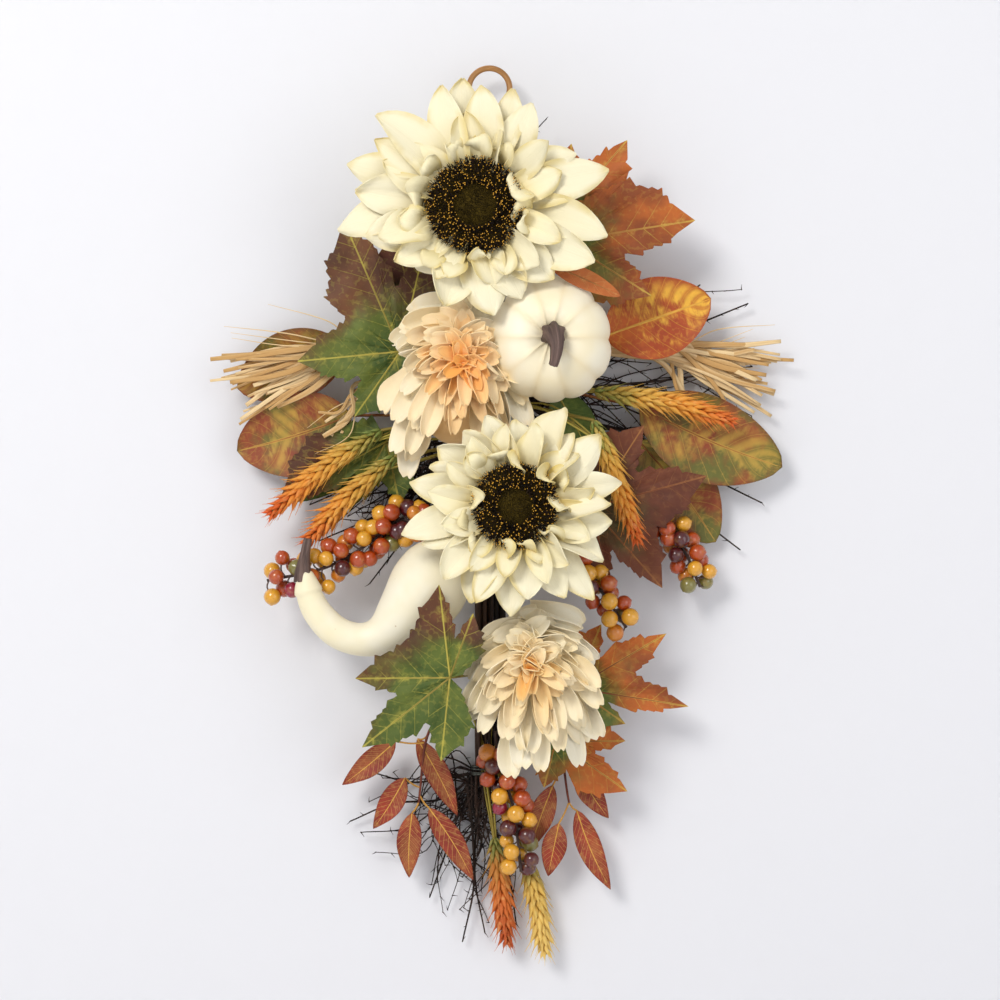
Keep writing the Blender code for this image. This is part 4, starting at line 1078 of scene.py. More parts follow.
# %% Berry clusters
# For each cluster: the stem's places, the number of berries and their reach from it.
BERRY_ROUTES = {
    "left": (
        ((-5, 49, -4), (-20, 50.6, -19), (-30, 50.4, -19), (-40, 53, -19), (-54, 55.6, -19), (-73, 57, -19)),
        56, 12.0,
    ),
    "middle": (((5.5, 53, -4), (24, 54.5, -22), (35, 57.5, -22), (45, 62.2, -22)), 26, 9.0),
    "right": (((6.6, 47.5, -4), (54, 50.2, -4), (64, 53.4, -4), (70, 57.8, -4)), 24, 9.0),
    "bottom": (((2, 74, -3), (3, 77, -10.4), (8, 82.5, -10.4), (10.5, 89.5, -10.4)), 32, 9.5),
}
BARE_SHARE = 0.2


def berry_cluster(part, route, count, reach, seed):
    vary = np.random.default_rng(seed).uniform
    path = smooth_path([place(*point) for point in route], 8)
    wood, berries = Skin(), Crop()
    wood.tube(path, 0.9 * MM, 6, tone=0.3)
    first = BARE_SHARE * len(path)
    for number in range(count):
        start, along, side = walk(path, first + (number + 0.5) / count * (len(path) - 1 - first))
        turn = number * GOLDEN + vary(-0.3, 0.3)
        out = math.cos(turn) * side * reach * vary(0.6, 1.05) + FRONT * 6.0 * math.sin(turn)
        centre = start + out * MM
        bent = start + out * MM * 0.4 + along * 2 * MM
        wood.tube(smooth_path([start, bent, centre], 3), 0.5 * MM, 5, tone=0.5)
        berries.add(centre, unit(out + along * 4 + vary(-2, 2, 3)), vary(4.5, 5.4), vary())
    show(wood.mesh(f"berry_stem_{part}"), DRY_STEM)
    show(berries.grow(f"berries_{part}_waxed", BALL, BERRY), BERRY, (f"berries_{part}",))


for seed, (part, held) in enumerate(BERRY_ROUTES.items(), 41):
    berry_cluster(part, *held, seed)

# %% [markdown]
# ## Wheat
# An ear is a straw with grains in whorls of five, each turned a little from the last, and each
# ending in a thin awn. The dye runs from green at the base to red at the tip, so each grain
# stores how far along the ear it sits.


# %% Ears of wheat
# For each ear: the straw's root, the ear's base and tip, and its dye.
EARS = {
    "wheat_left_upper": ((-5, 38.5, -3), (-35.4, 40.3, -12), (-74, 50.1, -12), EAR),
    "wheat_left_lower": ((-5, 41.8, -6), (-31, 43.2, -14), (-62, 53.4, -14), EAR),
    "wheat_right_upper": ((5.5, 34.5, -4), (34.5, 36, -17), (82.3, 39.5, -17), EAR),
    "wheat_right_lower": ((5.5, 37, -8), (34, 39.3, -28), (49.1, 53.3, -28), EAR),
    "wheat_bottom_left": ((-4, 72, 7), (1.6, 86, 3.2), (6.2, 98.6, 3.2), RUSTY_EAR),
    "wheat_bottom_right": ((-1, 73, 6), (12.2, 87.8, 3.2), (19.2, 99.7, 3.2), GOLD_EAR),
}
WHORL_STEP = 3.6 * MM


def ear(node, root, base, tip, material, seed):
    vary = np.random.default_rng(seed).uniform
    root, base, tip = place(*root), place(*base), place(*tip)
    length = np.linalg.norm(tip - base)
    sag = np.array((0, 0, 0.035)) * length
    spine = smooth_path([base, (base + tip) / 2 + sag, tip - unit(tip - base) * 3 * MM], 10)
    middle = (root + base) / 2
    straw, grains = Skin(), Crop()
    straw.tube(np.vstack([smooth_path([root, middle, base], 4)[:-1], spine]), 1.0 * MM, 6, tone=0.1)
    for _ in range(4):
        aside = vary(-3.2, 3.2, 3) * (1, 0.6, 1) * MM
        straw.tube(smooth_path([root + aside, middle - aside, spine[4]], 5), 0.6 * MM, 5, tone=vary())
    whorls = int(length / WHORL_STEP)
    for number in range(whorls):
        share = (number + 0.2) / whorls
        at, along, side = walk(spine, share * (len(spine) - 1))
        up = np.cross(side, along)
        wide = min(1.0, 0.6 + 1.8 * share) * min(1.0, 0.5 + 1.7 * (1 - share))
        for k in range(5):
            turn = 2 * math.pi * k / 5 + number * 0.63 + vary(-0.2, 0.2)
            out = math.cos(turn) * side + math.sin(turn) * up
            lean = unit(along + out * (0.52 + vary(-0.1, 0.2)))
            size, tone = wide * vary(0.95, 1.25), np.clip(share + vary(-0.08, 0.08), 0, 1)
            grains.add(at + out * 1.7 * MM * wide, lean, size, tone)
    show(straw.mesh(node + "_straw"), VEIN)
    show(grains.grow(node + "_grains", GRAIN, material), material, (node,))


for seed, (node, held) in enumerate(EARS.items(), 51):
    ear(node, *held, seed)

# %% [markdown]
# ## Raffia
# Raffia is a flat dried leaf that splits into ribbons of uneven width. Each bundle is a handful
# of ribbons from one root, gathered at a waist, with thin stray hairs. Ribbons are drawn as
# flattened tubes whose section stays closed, so that they hold up from the back as well.


# %% Raffia bundles
# For each bundle: its root, its ribbons' tips, its waist, its hairs' tip, and how many of each.
RAFFIA = {
    "raffia_left": (
        (-8, 29, -5.5), ((-94.1, 32), (-93.8, 33.8), (-89.2, 35.2), (-83.5, 37), (-83, 38.8), (-88, 33.2),
        (-90, 34.6), (-86, 36.2), (-80, 35.4), (-78, 38), (-92, 32.9)), (-40, 31, -5.5), (-86, 27.5), 3, 7,
    ),
    "raffia_right": (
        (8.2, 30.5, 6), ((102.8, 31.2), (102.8, 33.2), (102, 35.4), (96.4, 37.8), (99, 32.2), (100, 34.4),
        (97, 36.4), (92, 33.6), (90, 36.8), (73, 39.4)), (58, 31, 5), (92, 29.5), 3, 7,
    ),
    "raffia_tail": (
        (-8, 34, -5.5), ((-58.5, 40), (-55.5, 40.6), (-57, 39.2)), (-40, 36.5, -5.5), (-60, 41), 2, 3,
    ),
}


def raffia(node, root, tips, waist, hair, strands, hairs, seed):
    vary = np.random.default_rng(seed).uniform
    skin = Skin()
    depth, start, waist = root[2], place(*root), place(*waist)
    for tip in np.repeat(tips, strands, axis=0):
        end = place(tip[0] * vary(0.86, 1.0), tip[1] + vary(-1.0, 1.0), depth + vary(-5, 3))
        middle = waist + (end - waist) * 0.55 + vary(-4.5, 4.5, 3) * (1, 0.8, 1) * MM
        gathered = waist + vary(-8, 8, 3) * (1, 0.5, 1) * MM
        path = smooth_path([start, (start + gathered) / 2, gathered, middle, end], 7)
        skin.tube(path, vary(0.9, 2.0) * spread((0.8, 1, 1, 1.05, 0.65), 7) * MM, 8, flat=0.2, tone=vary())
    for _ in range(hairs):
        end = place(hair[0] * vary(0.85, 1.04), hair[1] + vary(-1.5, 5), depth + vary(-4, 3))
        middle = (waist + end) / 2 + vary(-7, 7, 3) * (1, 0.4, 1) * MM
        path = smooth_path([start, waist, middle, end], 8)
        skin.tube(path, spread((0.5, 0.45, 0.4, 0.12), 8) * MM, 5, tone=0.8)
    show(skin.mesh(node + "_ribbons"), STRAW, (node,))


for seed, (node, held) in enumerate(RAFFIA.items(), 61):
    raffia(node, *held, seed)


# %% [markdown]
# ## Lobed leaves
# A maple leaf is printed cloth pressed into folds along its veins. Its outline runs from lobe
# tip to lobe tip round the point where its veins meet, with teeth along the way. The surface is
# drawn as rings from that point to the outline, so the folds and veins can follow the lobes.


# %% Maple leaves
# For each leaf: where its veins meet, its lobes' tips, its stalk's root, its lean, a lobe's half
# width as a share of its length, the way in which it goes brown, and its finishes.
LOBED = {
    "maple_upper_left": (
        (-29.2, 31.6, -16.0), ((-21, 19.6), (-48.1, 16.9), (-63.1, 32.7), (-44.3, 38.8)),
        (-4, 29.5, -15.5), (0, -0.03), 0.34, (-0.1, 0.75), MAPLE_GREEN, VEIN,
    ),
    "maple_upper_left_dark": (
        (-24, 27.5, -9.8), ((-12, 21), (-32, 18)), (-5, 26.5, -9.8), (0, 0), 0.45, (0.3, 0.2), MAPLE_DARK, VEIN,
    ),
    "maple_lower_left": (
        (-12.5, 67.3, -54), ((-5, 60.3), (-15.9, 57.2), (-42.9, 67.4), (-41, 75.0), (-15.5, 76.5)),
        (-7.2, 67.8, 4), (-0.04, -0.13), 0.36, (-0.1, 0.8), MAPLE_GREEN, VEIN,
    ),
    "maple_top_right": (
        (26, 15.8, -20), ((45.4, 8.2), (27, 8.6)), (5, 17.5, -2), (0, 0), 0.36, (0.5, 0.4), MAPLE_RUST, RUST_VEIN,
    ),
    "maple_upper_right": (
        (24.8, 19.6, -28), ((67.5, 17.2), (53, 25.6)), (5, 20.5, -2), (0, 0), 0.4, (0.35, 0.3), MAPLE_RUST, RUST_VEIN,
    ),
    "maple_middle_left": (
        (-34, 41.5, -4.5), ((-69.5, 48.1), (-46.6, 49.1), (-29.7, 48.7)), (-5, 41, -2.5), (0, 0), 0.36, (-0.3, 0.2),
        MAPLE_GREEN, VEIN,
    ),
    "maple_middle_right": (
        (33.7, 48.9, -13), ((51, 39.8), (71.7, 45.4), (57.2, 57.9), (39.6, 57.8)), (5, 46, -2), (0, 0), 0.4,
        (0.2, 0.1), MAPLE_BROWN, RUST_VEIN,
    ),
    "maple_lower_right": (
        (28, 69.0, -13), ((37, 61.9), (58.3, 62.9), (65.6, 71), (45, 73)), (5, 67.5, -2), (0, 0), 0.38, (0.2, 0.3),
        MAPLE_RUST, RUST_VEIN,
    ),
    "maple_bottom_right": (
        (22, 75, -9), ((45, 74.9), (45.6, 80.5), (18.1, 80.2)), (5, 73, -2), (0, 0), 0.36, (0.2, 0),
        MAPLE_RUST, RUST_VEIN,
    ),
}
print(len(LOBED), "lobed leaves with", sum(len(held[1]) for held in LOBED.values()), "lobes")

# %% [markdown]
# The outline comes first. Each lobe is a shoulder, a neck and a tip on both sides of its midrib,
# and a narrow gap lies between two lobes. Saw teeth are cut along all of it but the tips.


# %% Outlines with teeth
TOOTH_STEP, TOOTH_HEIGHT, LEAF_CLOTH = 6 * MM, 2.1 * MM, 0.5 * MM


def sideways(vector):
    """The vector turned a quarter turn on the swag's face."""
    return np.array((-vector[2], 0, vector[0]))


def swept(first, second, sense):
    """The angle from one direction round to another."""
    return (sense * (math.atan2(second[2], second[0]) - math.atan2(first[2], first[0]))) % (2 * math.pi)


def toothed(points, sense, vary):
    """A line through the points with saw teeth on it. Its sharp corners stay."""
    line = []
    for a, b in zip(points, points[1:]):
        span = np.linalg.norm(b - a)
        count = max(1, round(span / TOOTH_STEP))
        height = unit(sideways(b - a)) * TOOTH_HEIGHT * sense
        for k in range(count):
            line.append(a + (b - a) * (k / count))
            if span > 0.6 * TOOTH_STEP:
                line.append(a + (b - a) * ((k + 0.72) / count) + height * vary(0.6, 1.2))
                line.append(a + (b - a) * ((k + 0.86) / count) + height * 0.25)
    return line + [points[-1]]


def leaf_outline(reaches, stalk, breadth, sense, vary):
    """The line round the leaf, from lobe tip to lobe tip, seen from where its veins meet."""
    outline = []
    for i, reach in enumerate(reaches):
        length = np.linalg.norm(reach)
        along = reach / length
        across = sideways(along) * sense
        near = (reaches[i - 1] if i else stalk * 10 * MM,
                reaches[i + 1] if i + 1 < len(reaches) else stalk * 10 * MM)
        gaps = [unit(unit(other) + along) * 0.62 * min(np.linalg.norm(other), length) for other in near]
        # At the first and last lobe the outline turns in towards the stalk.
        by_stalk = unit(stalk + along * 0.6) * 0.2 * length
        if not i:
            gaps[0] = by_stalk if swept(stalk, reach, sense) < 3 else -across * 0.25 * length
        if i + 1 == len(reaches):
            gaps[1] = by_stalk if swept(reach, stalk, sense) < 3 else across * 0.25 * length
        sides = []
        for way, gap, other in zip((-1, 1), gaps, near):
            angle = math.acos(max(-1.0, min(1.0, float(unit(other) @ along))))
            wide = across * min(breadth, 0.58 * math.tan(0.47 * min(angle, 1.3))) * way
            steps = (0.56, 1), (0.64, 0.8), (0.79, 0.7), (0.85, 0.36)
            sides.append([gap] + [(along * far + wide * share) * length for far, share in steps] + [along * length])
        left, right = sides[0], sides[1][::-1]
        points = toothed(left[:-1], sense, vary) + [left[-1]] + toothed(right[1:], sense, vary)
        outline += points[1:] if i else points
    return np.array(outline)


print("teeth every", round(TOOTH_STEP / MM, 1), "mm")

# %% [markdown]
# Rings from the meeting point to the outline then make the cloth. Each point finds its nearest
# midrib, so the cloth folds along it and the finish can draw veins from it.


# %% Lobed leaves
def lobed_leaf(node, junction, tips, root, lean, breadth, turned, material, rib_material, seed):
    """A folded, toothed leaf with raised veins and a stalk."""
    vary = np.random.default_rng(seed).uniform
    junction, root = place(*junction), place(*root)
    flattened = np.array((1, 0, 1))
    reaches = [(place(*tip) - junction) * flattened for tip in tips]
    sense = 1 if sum(a[0] * b[2] - a[2] * b[0] for a, b in zip(reaches, reaches[1:])) > 0 else -1
    outline = leaf_outline(reaches, unit((root - junction) * flattened), breadth, sense, vary)
    longest = max(np.linalg.norm(reach) for reach in reaches)
    flat = outline[None, :, :] * np.linspace(0, 1, 15)[:, None, None]
    # Run is the way along the nearest midrib, and off the distance from it.
    axes = np.array([unit(reach) for reach in reaches])
    run = np.einsum("ijk,lk->ijl", flat, axes)
    off = np.linalg.norm(flat[:, :, None, :] - run[..., None] * axes, axis=-1)
    off = np.where(run > -1e-9, off, 1.0)
    nearest = off.argmin(-1)[..., None]
    off, run = (np.take_along_axis(value, nearest, -1)[..., 0] for value in (off, run))
    far = np.linalg.norm(flat, axis=-1)
    x, z = flat[..., 0], flat[..., 2]
    fold = 0.22 * np.minimum(off, 9 * MM) + 0.9 * MM * np.sin(far / (3.4 * MM)) * np.minimum(off / (12 * MM), 1)
    droop = vary(0.02, 0.1) * far**2 / longest * np.cos(np.arctan2(z, x) * 2 + seed)
    wave = 1.6 * MM * np.sin(x / (17 * MM) + seed) * np.sin(z / (21 * MM) + 2 * seed)
    points = junction + flat
    points[..., 1] += lean[0] * x + lean[1] * z - fold + droop + wave * (far / longest)
    aged = (far + turned[0] * x + turned[1] * z) / longest
    skin, ribs = Skin(), Skin()
    skin.grid(points, off=off / (10 * MM), run=run / (10 * MM), out=aged, tone=vary(-0.06, 0.06))
    show(skin.mesh(node + "_cloth", LEAF_CLOTH), material, (node,))
    for reach in reaches:
        column = int(np.argmin(np.linalg.norm(outline - reach, axis=1)))
        path = points[:14, column] + FRONT * 0.15 * MM
        ribs.tube(path, np.linspace(0.75, 0.2, 14) * MM, 5, flat=0.7, tone=vary())
    bend = junction + (root - junction) * 0.5 - FRONT * 1.5 * MM
    ribs.tube(smooth_path([junction, bend, root], 5), 0.85 * MM, 6, tone=0.5)
    show(ribs.mesh(node + "_veins"), rib_material)


for seed, (node, held) in enumerate(LOBED.items(), 71):
    lobed_leaf(node, *held, seed)

# %% [markdown]
# ## Oval leaves
# Magnolia leaves are long ovals, folded a little along the midrib and wavy at the edge. They are
# the same kind of sheet as a petal, with a raised rib on top and a stalk back to the core.


# %% Blades
# For each leaf: its base, tip and half width, its stalk's root, and its finish and slot.
BLADES = {
    "magnolia_left_upper": ((-48, 31, 2), (-84.2, 35.5, 2), 22, (-6.6, 30, 2), MAGNOLIA, "magnolia_leaf"),
    "magnolia_left_lower": ((-46, 38.6, -1), (-83.9, 42.6, -1), 26, (-5, 38, -1), MAGNOLIA, "magnolia_leaf"),
    "magnolia_right_upper": ((50, 37.6, -2), (97.5, 44.4, -2), 26.5, (5, 34, -2), MAGNOLIA, "magnolia_leaf"),
    "magnolia_right_lower": ((50, 41.5, 4), (75.7, 52.8, 4), 22, (6.6, 40, 4), MAGNOLIA, "magnolia_leaf"),
    "mottled_leaf": ((38.2, 29.8, -9), (73.4, 25.6, -9), 25, (9, 28.5, -5), MOTTLED, "mottled_leaf"),
    "green_leaf_left": ((-30, 40.5, 2.5), (-66.1, 48.1, 2.5), 13, (-6.6, 40, 2.5), GREEN_LEAF, "green_leaf"),
    "green_leaf_right": ((22, 36, -8), (34, 43.5, -8), 13, (5, 36, -2), GREEN_LEAF, "green_leaf"),
    "folded_leaf": ((19.5, 22.7, -57.5), (42.2, 26, -54), 6, (5, 21.8, -2), FOLDED, "maple_leaf"),
}


def blade(skin, ribs, base, tip, half_width, root, vary, fold=0.16, wave=0.05, droop=0.04, grid=(30, 15),
          stalk=0.9, shape=(0.92, 0.62)):
    along = tip - base
    length = np.linalg.norm(along)
    v = np.linspace(0, 1, grid[0])[:, None]
    u = np.linspace(-1, 1, grid[1])[None, :]
    width = half_width * np.maximum(np.sin(math.pi * v**shape[0]), 0) ** shape[1]
    width = np.maximum(width, 0.04 * half_width * (1 - v))
    turn = vary(0, 6.0)
    bowed = 0.03 * length * np.sin(math.pi * v) * vary(-1, 1)
    across = unit(np.cross(along, (0, 1, 0))) * (width * u * 0.98 + bowed)[..., None]
    points = base + along * v[..., None] + across
    ripple = wave * half_width * np.sin(11 * v + 2 * np.sign(u) + turn) * np.abs(u) ** 2
    points[..., 1] -= fold * width * np.abs(u) ** 1.4 + ripple - droop * length * v**2 * vary(0.4, 1.4)
    skin.grid(points, off=np.abs(u) * 1.2, run=v * 6, out=v * 0.8 + 0.2, tone=vary(-0.1, 0.1))
    rib = points[:-2, grid[1] // 2] + FRONT * 0.12 * MM
    ribs.tube(rib, np.linspace(stalk * 0.9, 0.2, grid[0] - 2) * MM, 5, flat=0.8, tone=0.6)
    path = smooth_path([root, (root + base) / 2 + np.array((0, 1, -1)) * MM, base], 5)
    ribs.tube(path, stalk * MM, 6, tone=0.4)


RIBS = {"green_leaf": VEIN, "mottled_leaf": GOLD_VEIN}
for seed, (node, (base, tip, half_width, root, material, slot)) in enumerate(BLADES.items(), 81):
    skin, ribs = Skin(), Skin()
    vary = np.random.default_rng(seed).uniform
    blade(skin, ribs, place(*base), place(*tip), half_width * MM, place(*root), vary)
    show(skin.mesh(node + "_cloth", LEAF_CLOTH), material, (node,))
    show(ribs.mesh(node + "_rib"), RIBS.get(slot, RUST_VEIN))

# %% [markdown]
# ## Willow sprays
# The brick-red sprays below the lower dahlia are narrow leaves on thin red stems. Each leaf has
# its own stalk to the stem, as on the real spray.


# %% Willow
# For each spray: its stem's places, and for each leaf its base, its tip and where it leaves.
SPRAYS = {
    "willow_left": (
        ((-8, 71), (-20, 74), (-23.5, 82)),
        (((-31.2, 75.1), (-48.8, 80), 0.6), ((-23.9, 74.9), (-10.7, 83.5), 0.55), ((-28, 79.2), (-38.5, 84.9), 0.9),
         ((-25.6, 83.1), (-26.6, 90.4), 1.0), ((-20, 82.6), (-5.4, 90.7), 0.95)),
    ),
    "willow_right": (
        ((8, 72), (22, 75), (26.5, 82)),
        (((21.1, 80.1), (13.2, 87.5), 0.7), ((29.1, 78), (39.7, 83.8), 0.7), ((23.1, 84.3), (19.5, 90.2), 1.0),
         ((29.1, 82.9), (40.3, 91.8), 1.0)),
    ),
}


WILLOW_DEPTH = -1.2

for seed, (node, (stem_points, leaves)) in enumerate(SPRAYS.items(), 91):
    vary = np.random.default_rng(seed).uniform
    path = smooth_path([place(*point, WILLOW_DEPTH) for point in stem_points], 10)
    skin, ribs, stems = Skin(), Skin(), Skin()
    stems.tube(path, np.linspace(1.1, 0.7, len(path)) * MM, 7, tone=0.4)
    for base, tip, share in leaves:
        depth = WILLOW_DEPTH + vary(-3, 1.5)
        start = path[int(share * (len(path) - 1))]
        blade(skin, ribs, place(*base, depth), place(*tip, depth), 7.6 * MM, start, vary,
              fold=0.3, wave=0.12, droop=0.05, grid=(22, 11), stalk=0.55, shape=(0.8, 0.85))
    show(skin.mesh(node + "_leaves", 0.45 * MM), WILLOW, (node,))
    show(ribs.mesh(node + "_ribs"), GOLD_VEIN)
    show(stems.mesh(node + "_stem"), RED_STEM)

# %% [markdown]
# ## Twigs
# Thin dark twigs fan out behind the leaves, and short thorns stand along them. A tree sweeps a
# round section along each line, with a radius stored at its points, and puts thorns on the same
# lines. One tree serves all four fans, and each fan has its own seed.


# %% The twig tree
def twig_tree():
    tree = Tree("twigs", Thorn=bpy.types.Object, Spacing=0.009, Seed=1)
    line = tree.node("GeometryNodeMeshToCurve", None, {0: "Geometry"})
    width = tree.named("size")
    sized = tree.node("GeometryNodeSetCurveRadius", None, {"Curve": line, "Radius": width})
    circle = tree.node("GeometryNodeCurvePrimitiveCircle", None, {"Resolution": 6, "Radius": 1.0})
    inputs = {"Curve": sized, "Profile Curve": circle, "Fill Caps": True}
    wood = tree.node("GeometryNodeCurveToMesh", None, inputs)
    if "Scale" in wood.inputs:
        tree.plug(wood.inputs["Scale"], width)
    feet = tree.node("GeometryNodeCurveToPoints", {"mode": "LENGTH"}, {"Curve": sized, "Length": "Spacing"})
    aim = tree.aimed(tree.any_way(1))
    thorns = tree.stand(feet.outputs["Points"], tree.shape_of("Thorn"), Rotation=aim)
    return tree.close(tree.joined(thorns, wood))


TWIGS = twig_tree()
print("the twig tree has", len(TWIGS.group.nodes), "nodes")


# %% Fans of twigs
# For each fan: its root, its tips, how many twigs more, their thickness and how far their feet stray.
FANS = {
    "twigs_top": ((0, 10.8, -3), ((9.6, 3.4), (-9.4, 4), (19, 5.4)), 4, 0.7, (1, 1, 1)),
    "twigs_left": (
        (-8, 43, 8), ((-57, 45.3), (-60, 48.6), (-57, 52.7), (-44, 53.8), (-40, 57.5)), 68, 1.0, (3.5, 1, 4.5),
    ),
    "twigs_right": (
        (9, 36, 10.5), ((70.5, 23.8), (86.6, 25.9), (88, 33), (90.6, 44), (91.3, 48.4), (84, 53.7)), 34, 1.15,
        (3.5, 1, 4.5),
    ),
    "twigs_bottom": (
        (-4, 80, 11.8), ((-46.6, 84.4), (-38, 79), (-20, 93), (-1.5, 97), (9, 96), (-9, 98)), 48, 1.0,
        (3.5, 1, 4.5),
    ),
}


def fan(node, root, tips, extra, radius, stray, seed):
    """Lines from one root to its tips, with more between them that bend and cross."""
    draw = np.random.default_rng(seed)
    vary = draw.uniform
    points, edges, widths = [], [], []
    low, high = box_of(node)[:2]
    tips = [place(*tip, root[2]) for tip in tips]
    start = place(*root)
    for number in range(len(tips) + extra):
        if number < len(tips):
            end, swing, thick = tips[number], 5, 1.0
        else:
            a, b = draw.integers(0, len(tips), 2)
            end = tips[a] * 0.75 + tips[b] * 0.25
            end = start + (end - start) * vary(0.4, 0.98) + vary(-9, 9, 3) * (1, 0.3, 1) * MM
            end = np.clip(end, low - 2 * MM, high + 2 * MM)
            swing, thick = 19, vary(0.45, 0.8)
        span = end - start
        aside = sideways(span) / np.linalg.norm(span)
        middles = [start + span * s + aside * vary(-swing, swing) * MM + (0, vary(-2.5, 2.5) * MM, 0)
                   for s in (0.3, 0.65)]
        path = smooth_path([start + vary(-2, 2, 3) * stray * MM, *middles, end], 7)
        path[:, 1] = np.minimum(path[:, 1], CAD_BOX[1].y)
        first = len(points)
        points += path.tolist()
        edges += [(first + i, first + i + 1) for i in range(len(path) - 1)]
        widths += (np.linspace(1.0, 0.45, len(path)) * radius * thick * MM).tolist()
    obj = bare(node + "_bark", points, edges, size=widths)
    TWIGS.grow(obj, BARK, Thorn=THORN, Spacing=9 * MM, Seed=seed)
    show(obj, TWIG_BARK, (node,))


for seed, (node, held) in enumerate(FANS.items(), 101):
    fan(node, *held, seed)

# %% [markdown]
# ## The core, its binding and the ring
# A bundle of sticks runs down the back, bound with wire in three places, and all the stems are
# wired to it. The turned wooden ring at the top hangs on the hook. A wire loop joins them, and
# the swag swings there.


# %% Core sticks and binding wire
def core():
    low, high, middle, half = box_of("twig_core")
    vary = np.random.default_rng(7).uniform
    skin = Skin()
    spots = [(math.cos(a) * 0.74, math.sin(a) * 0.7) for a in np.linspace(0, 2 * math.pi, 13, endpoint=False)]
    spots += [(-0.36, 0.05), (0.0, -0.12), (0.36, 0.1), (-0.2, 0.3), (0.22, -0.32)]
    for across, deep in spots:
        top = high[2] - vary(0, 10) * MM - (9 * MM if abs(across) < 0.3 else 0)
        foot = low[2] + vary(0, 52) * MM
        path = []
        for z in np.linspace(top, foot, 9):
            neck = min(1.0, 0.5 + (high[2] - z) / (30 * MM))
            x = middle[0] + half[0] * (across * neck + vary(-0.07, 0.07))
            path.append((x, middle[1] + half[1] * (deep + vary(-0.1, 0.1)), z))
        taper = vary(0.9, 1.1, 9) * (1, 1, 1, 1, 1, 1, 0.95, 0.8, 0.3)
        skin.tube(smooth_path(path, 5), spread(vary(1.3, 2.1) * taper, 5) * MM, 9, tone=vary())
    show(skin.mesh("core_sticks"), BARK, ("twig_core",))


def binding(node, seed):
    """Four turns of wire on a section between a square and a circle."""
    middle, half = box_of(node)[2:]
    turn = np.linspace(0, 2 * math.pi * 4, 150)
    out = (np.abs(np.cos(turn)) ** 4 + np.abs(np.sin(turn)) ** 4) ** -0.25
    uneven = 0.5 * np.sin(turn * 0.7 + np.random.default_rng(seed).uniform(0, 6))
    x = middle[0] + half[0] * 0.96 * np.cos(turn) * out
    y = middle[1] + half[1] * 0.97 * np.sin(turn) * out
    z = middle[2] + (np.linspace(-3, 3, 150) + uneven) * MM
    skin = Skin()
    skin.tube(np.stack((x, y, z), -1), 0.55 * MM, 7)
    show(skin.mesh(node + "_turns"), WIRE, (node,))


def ring():
    """A closed ring. Its first and last rows meet, and a weld joins them."""
    middle, half = box_of("hanging_ring")[2:]
    section, radius = half[1], half[0] - half[1]
    turn = np.append(round_turn(71)[0], 0)[:, None]
    around = round_turn(20)
    skin = Skin()
    skin.grid(lathe(middle, radius + section * np.cos(around), section * np.sin(around), turn), around=True, tone=0.5)
    obj = skin.mesh("wooden_ring")
    obj.modifiers.new("weld", "WELD").merge_threshold = 0.01 * MM
    show(settle(obj), RING_WOOD, ("hanging_ring",), "ring")


core()
for seed, level in enumerate(("top", "middle", "bottom"), 5):
    binding(f"binding_wire_{level}", seed)
ring()

# %% [markdown]
# ## Solids that stay
# The wire loop, the flower stems and the picks are thin and mostly hidden, and their solids
# already have the right shape. They stay, with a painted or metal finish.

# %% Finishes on the solids that stay
for node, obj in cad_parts.items():
    if obj.hide_render:
        continue
    material = WIRE if "wire" in node else PICK_WOOD if "pick" in node else STEM_PAINT
    obj.data.materials.clear()
    obj.data.materials.append(material)
    print(node, "keeps its solid, with", material.name)
for helper in (BALL, GRAIN, THORN):
    bpy.data.objects.remove(helper)

# %% [markdown]
# ## Wall, light and camera
# The swag hangs in front of a pale wall. The wall shows only from the room's side, so that it
# doesn't hide the back. One broad soft light from the upper left casts faint shadows, a weaker
# one and a pale sky fill them, and a third light shows the back.


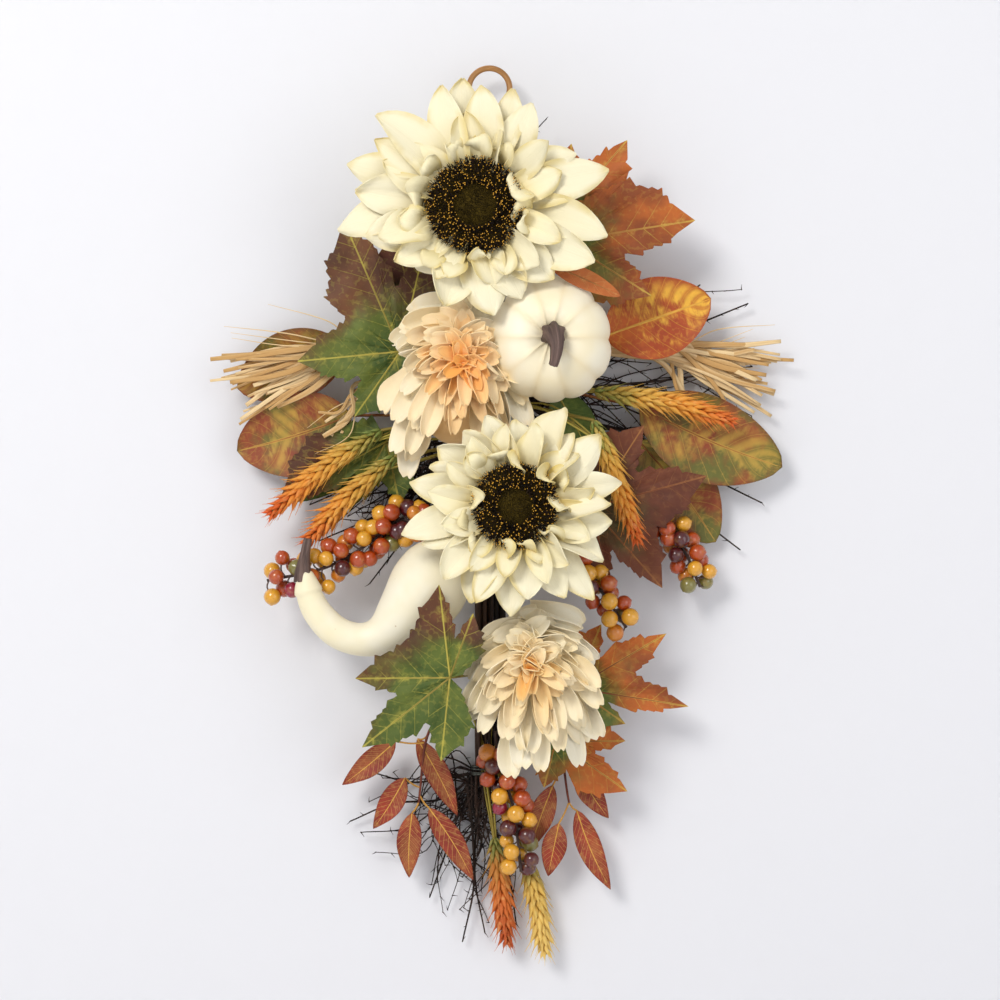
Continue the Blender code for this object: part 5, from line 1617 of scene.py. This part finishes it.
# %% Wall and floor
PALE, WALL_GAP, FLOOR_GAP = "#E8E8EB", 4 * MM, 90 * MM
WALL_Y, FLOOR_Z = CAD_BOX[1].y + WALL_GAP, CAD_BOX[0].z - FLOOR_GAP
WALL = (-3, WALL_Y, FLOOR_Z), (3, WALL_Y, FLOOR_Z), (3, WALL_Y, 2.5), (-3, WALL_Y, 2.5)
FLOOR = (-3, -3, FLOOR_Z), (3, -3, FLOOR_Z), (3, 3, FLOOR_Z), (-3, 3, FLOOR_Z)
for name, points in (("wall", WALL), ("floor", FLOOR)):
    obj = bare(name, points, (), [(0, 1, 2, 3)])
    f = Finish(name, Roughness=0.9, Specular_IOR_Level=0.1)
    f.plug(f.shader.inputs["Base Color"], f.mix(f.noise(3.0), PALE, PALE))
    if name == "wall":
        back = f.node("ShaderNodeNewGeometry").outputs["Backfacing"]
        clear = f.node("ShaderNodeBsdfTransparent").outputs[0]
        both = f.node("ShaderNodeMixShader", None, {0: back, 1: f.shader.outputs[0], 2: clear})
        f.plug(f.tree.nodes["Material Output"].inputs["Surface"], both.outputs[0])
    obj.data.materials.append(f.material)
print("wall at", round(WALL_Y, 4), "and floor at", round(FLOOR_Z, 4))


# %% Light and camera
def soft_light(name, at, size, power, colour=(1, 1, 1)):
    """A round light that looks at the middle of the swag."""
    lamp = bpy.data.lights.new(name, "AREA")
    lamp.shape, lamp.size, lamp.energy, lamp.color = "DISK", size, power, colour
    obj = linked(name, lamp)
    obj.location = at
    obj.rotation_euler = (Vector((0, 0, -SWAG_LENGTH / 2)) - Vector(at)).to_track_quat("-Z", "Y").to_euler()


# For each light: its place, width, power and colour.
soft_light("key", (-1.0, -1.9, 0.9), 0.9, 31, (1.0, 0.985, 0.96))
soft_light("fill", (1.5, -1.8, 0.1), 1.6, 10, (0.97, 0.985, 1.0))
soft_light("behind", (0.4, 1.6, 0.8), 1.4, 14)
world = bpy.data.worlds.new("studio")
world.use_nodes = True
sky = world.node_tree.nodes["Background"].inputs
sky[0].default_value, sky[1].default_value = hue("#F2F3F6"), 0.53
bpy.context.scene.world = world
bpy.context.scene.view_settings.view_transform = "Standard"

CAMERA_PLACE, CAMERA_LENS = (6.5 * MM, -1.5, -259.7 * MM), 89.1
camera = linked("camera", bpy.data.cameras.new("camera"))
camera.location, camera.data.lens = CAMERA_PLACE, CAMERA_LENS
camera.rotation_euler = (math.pi / 2, 0, 0)
bpy.context.scene.camera = camera
print("camera at", tuple(round(c, 4) for c in camera.location))

# %% The frame's box
print("frame box", [tuple(round(v, 4) for v in c) for c in CAD_BOX])
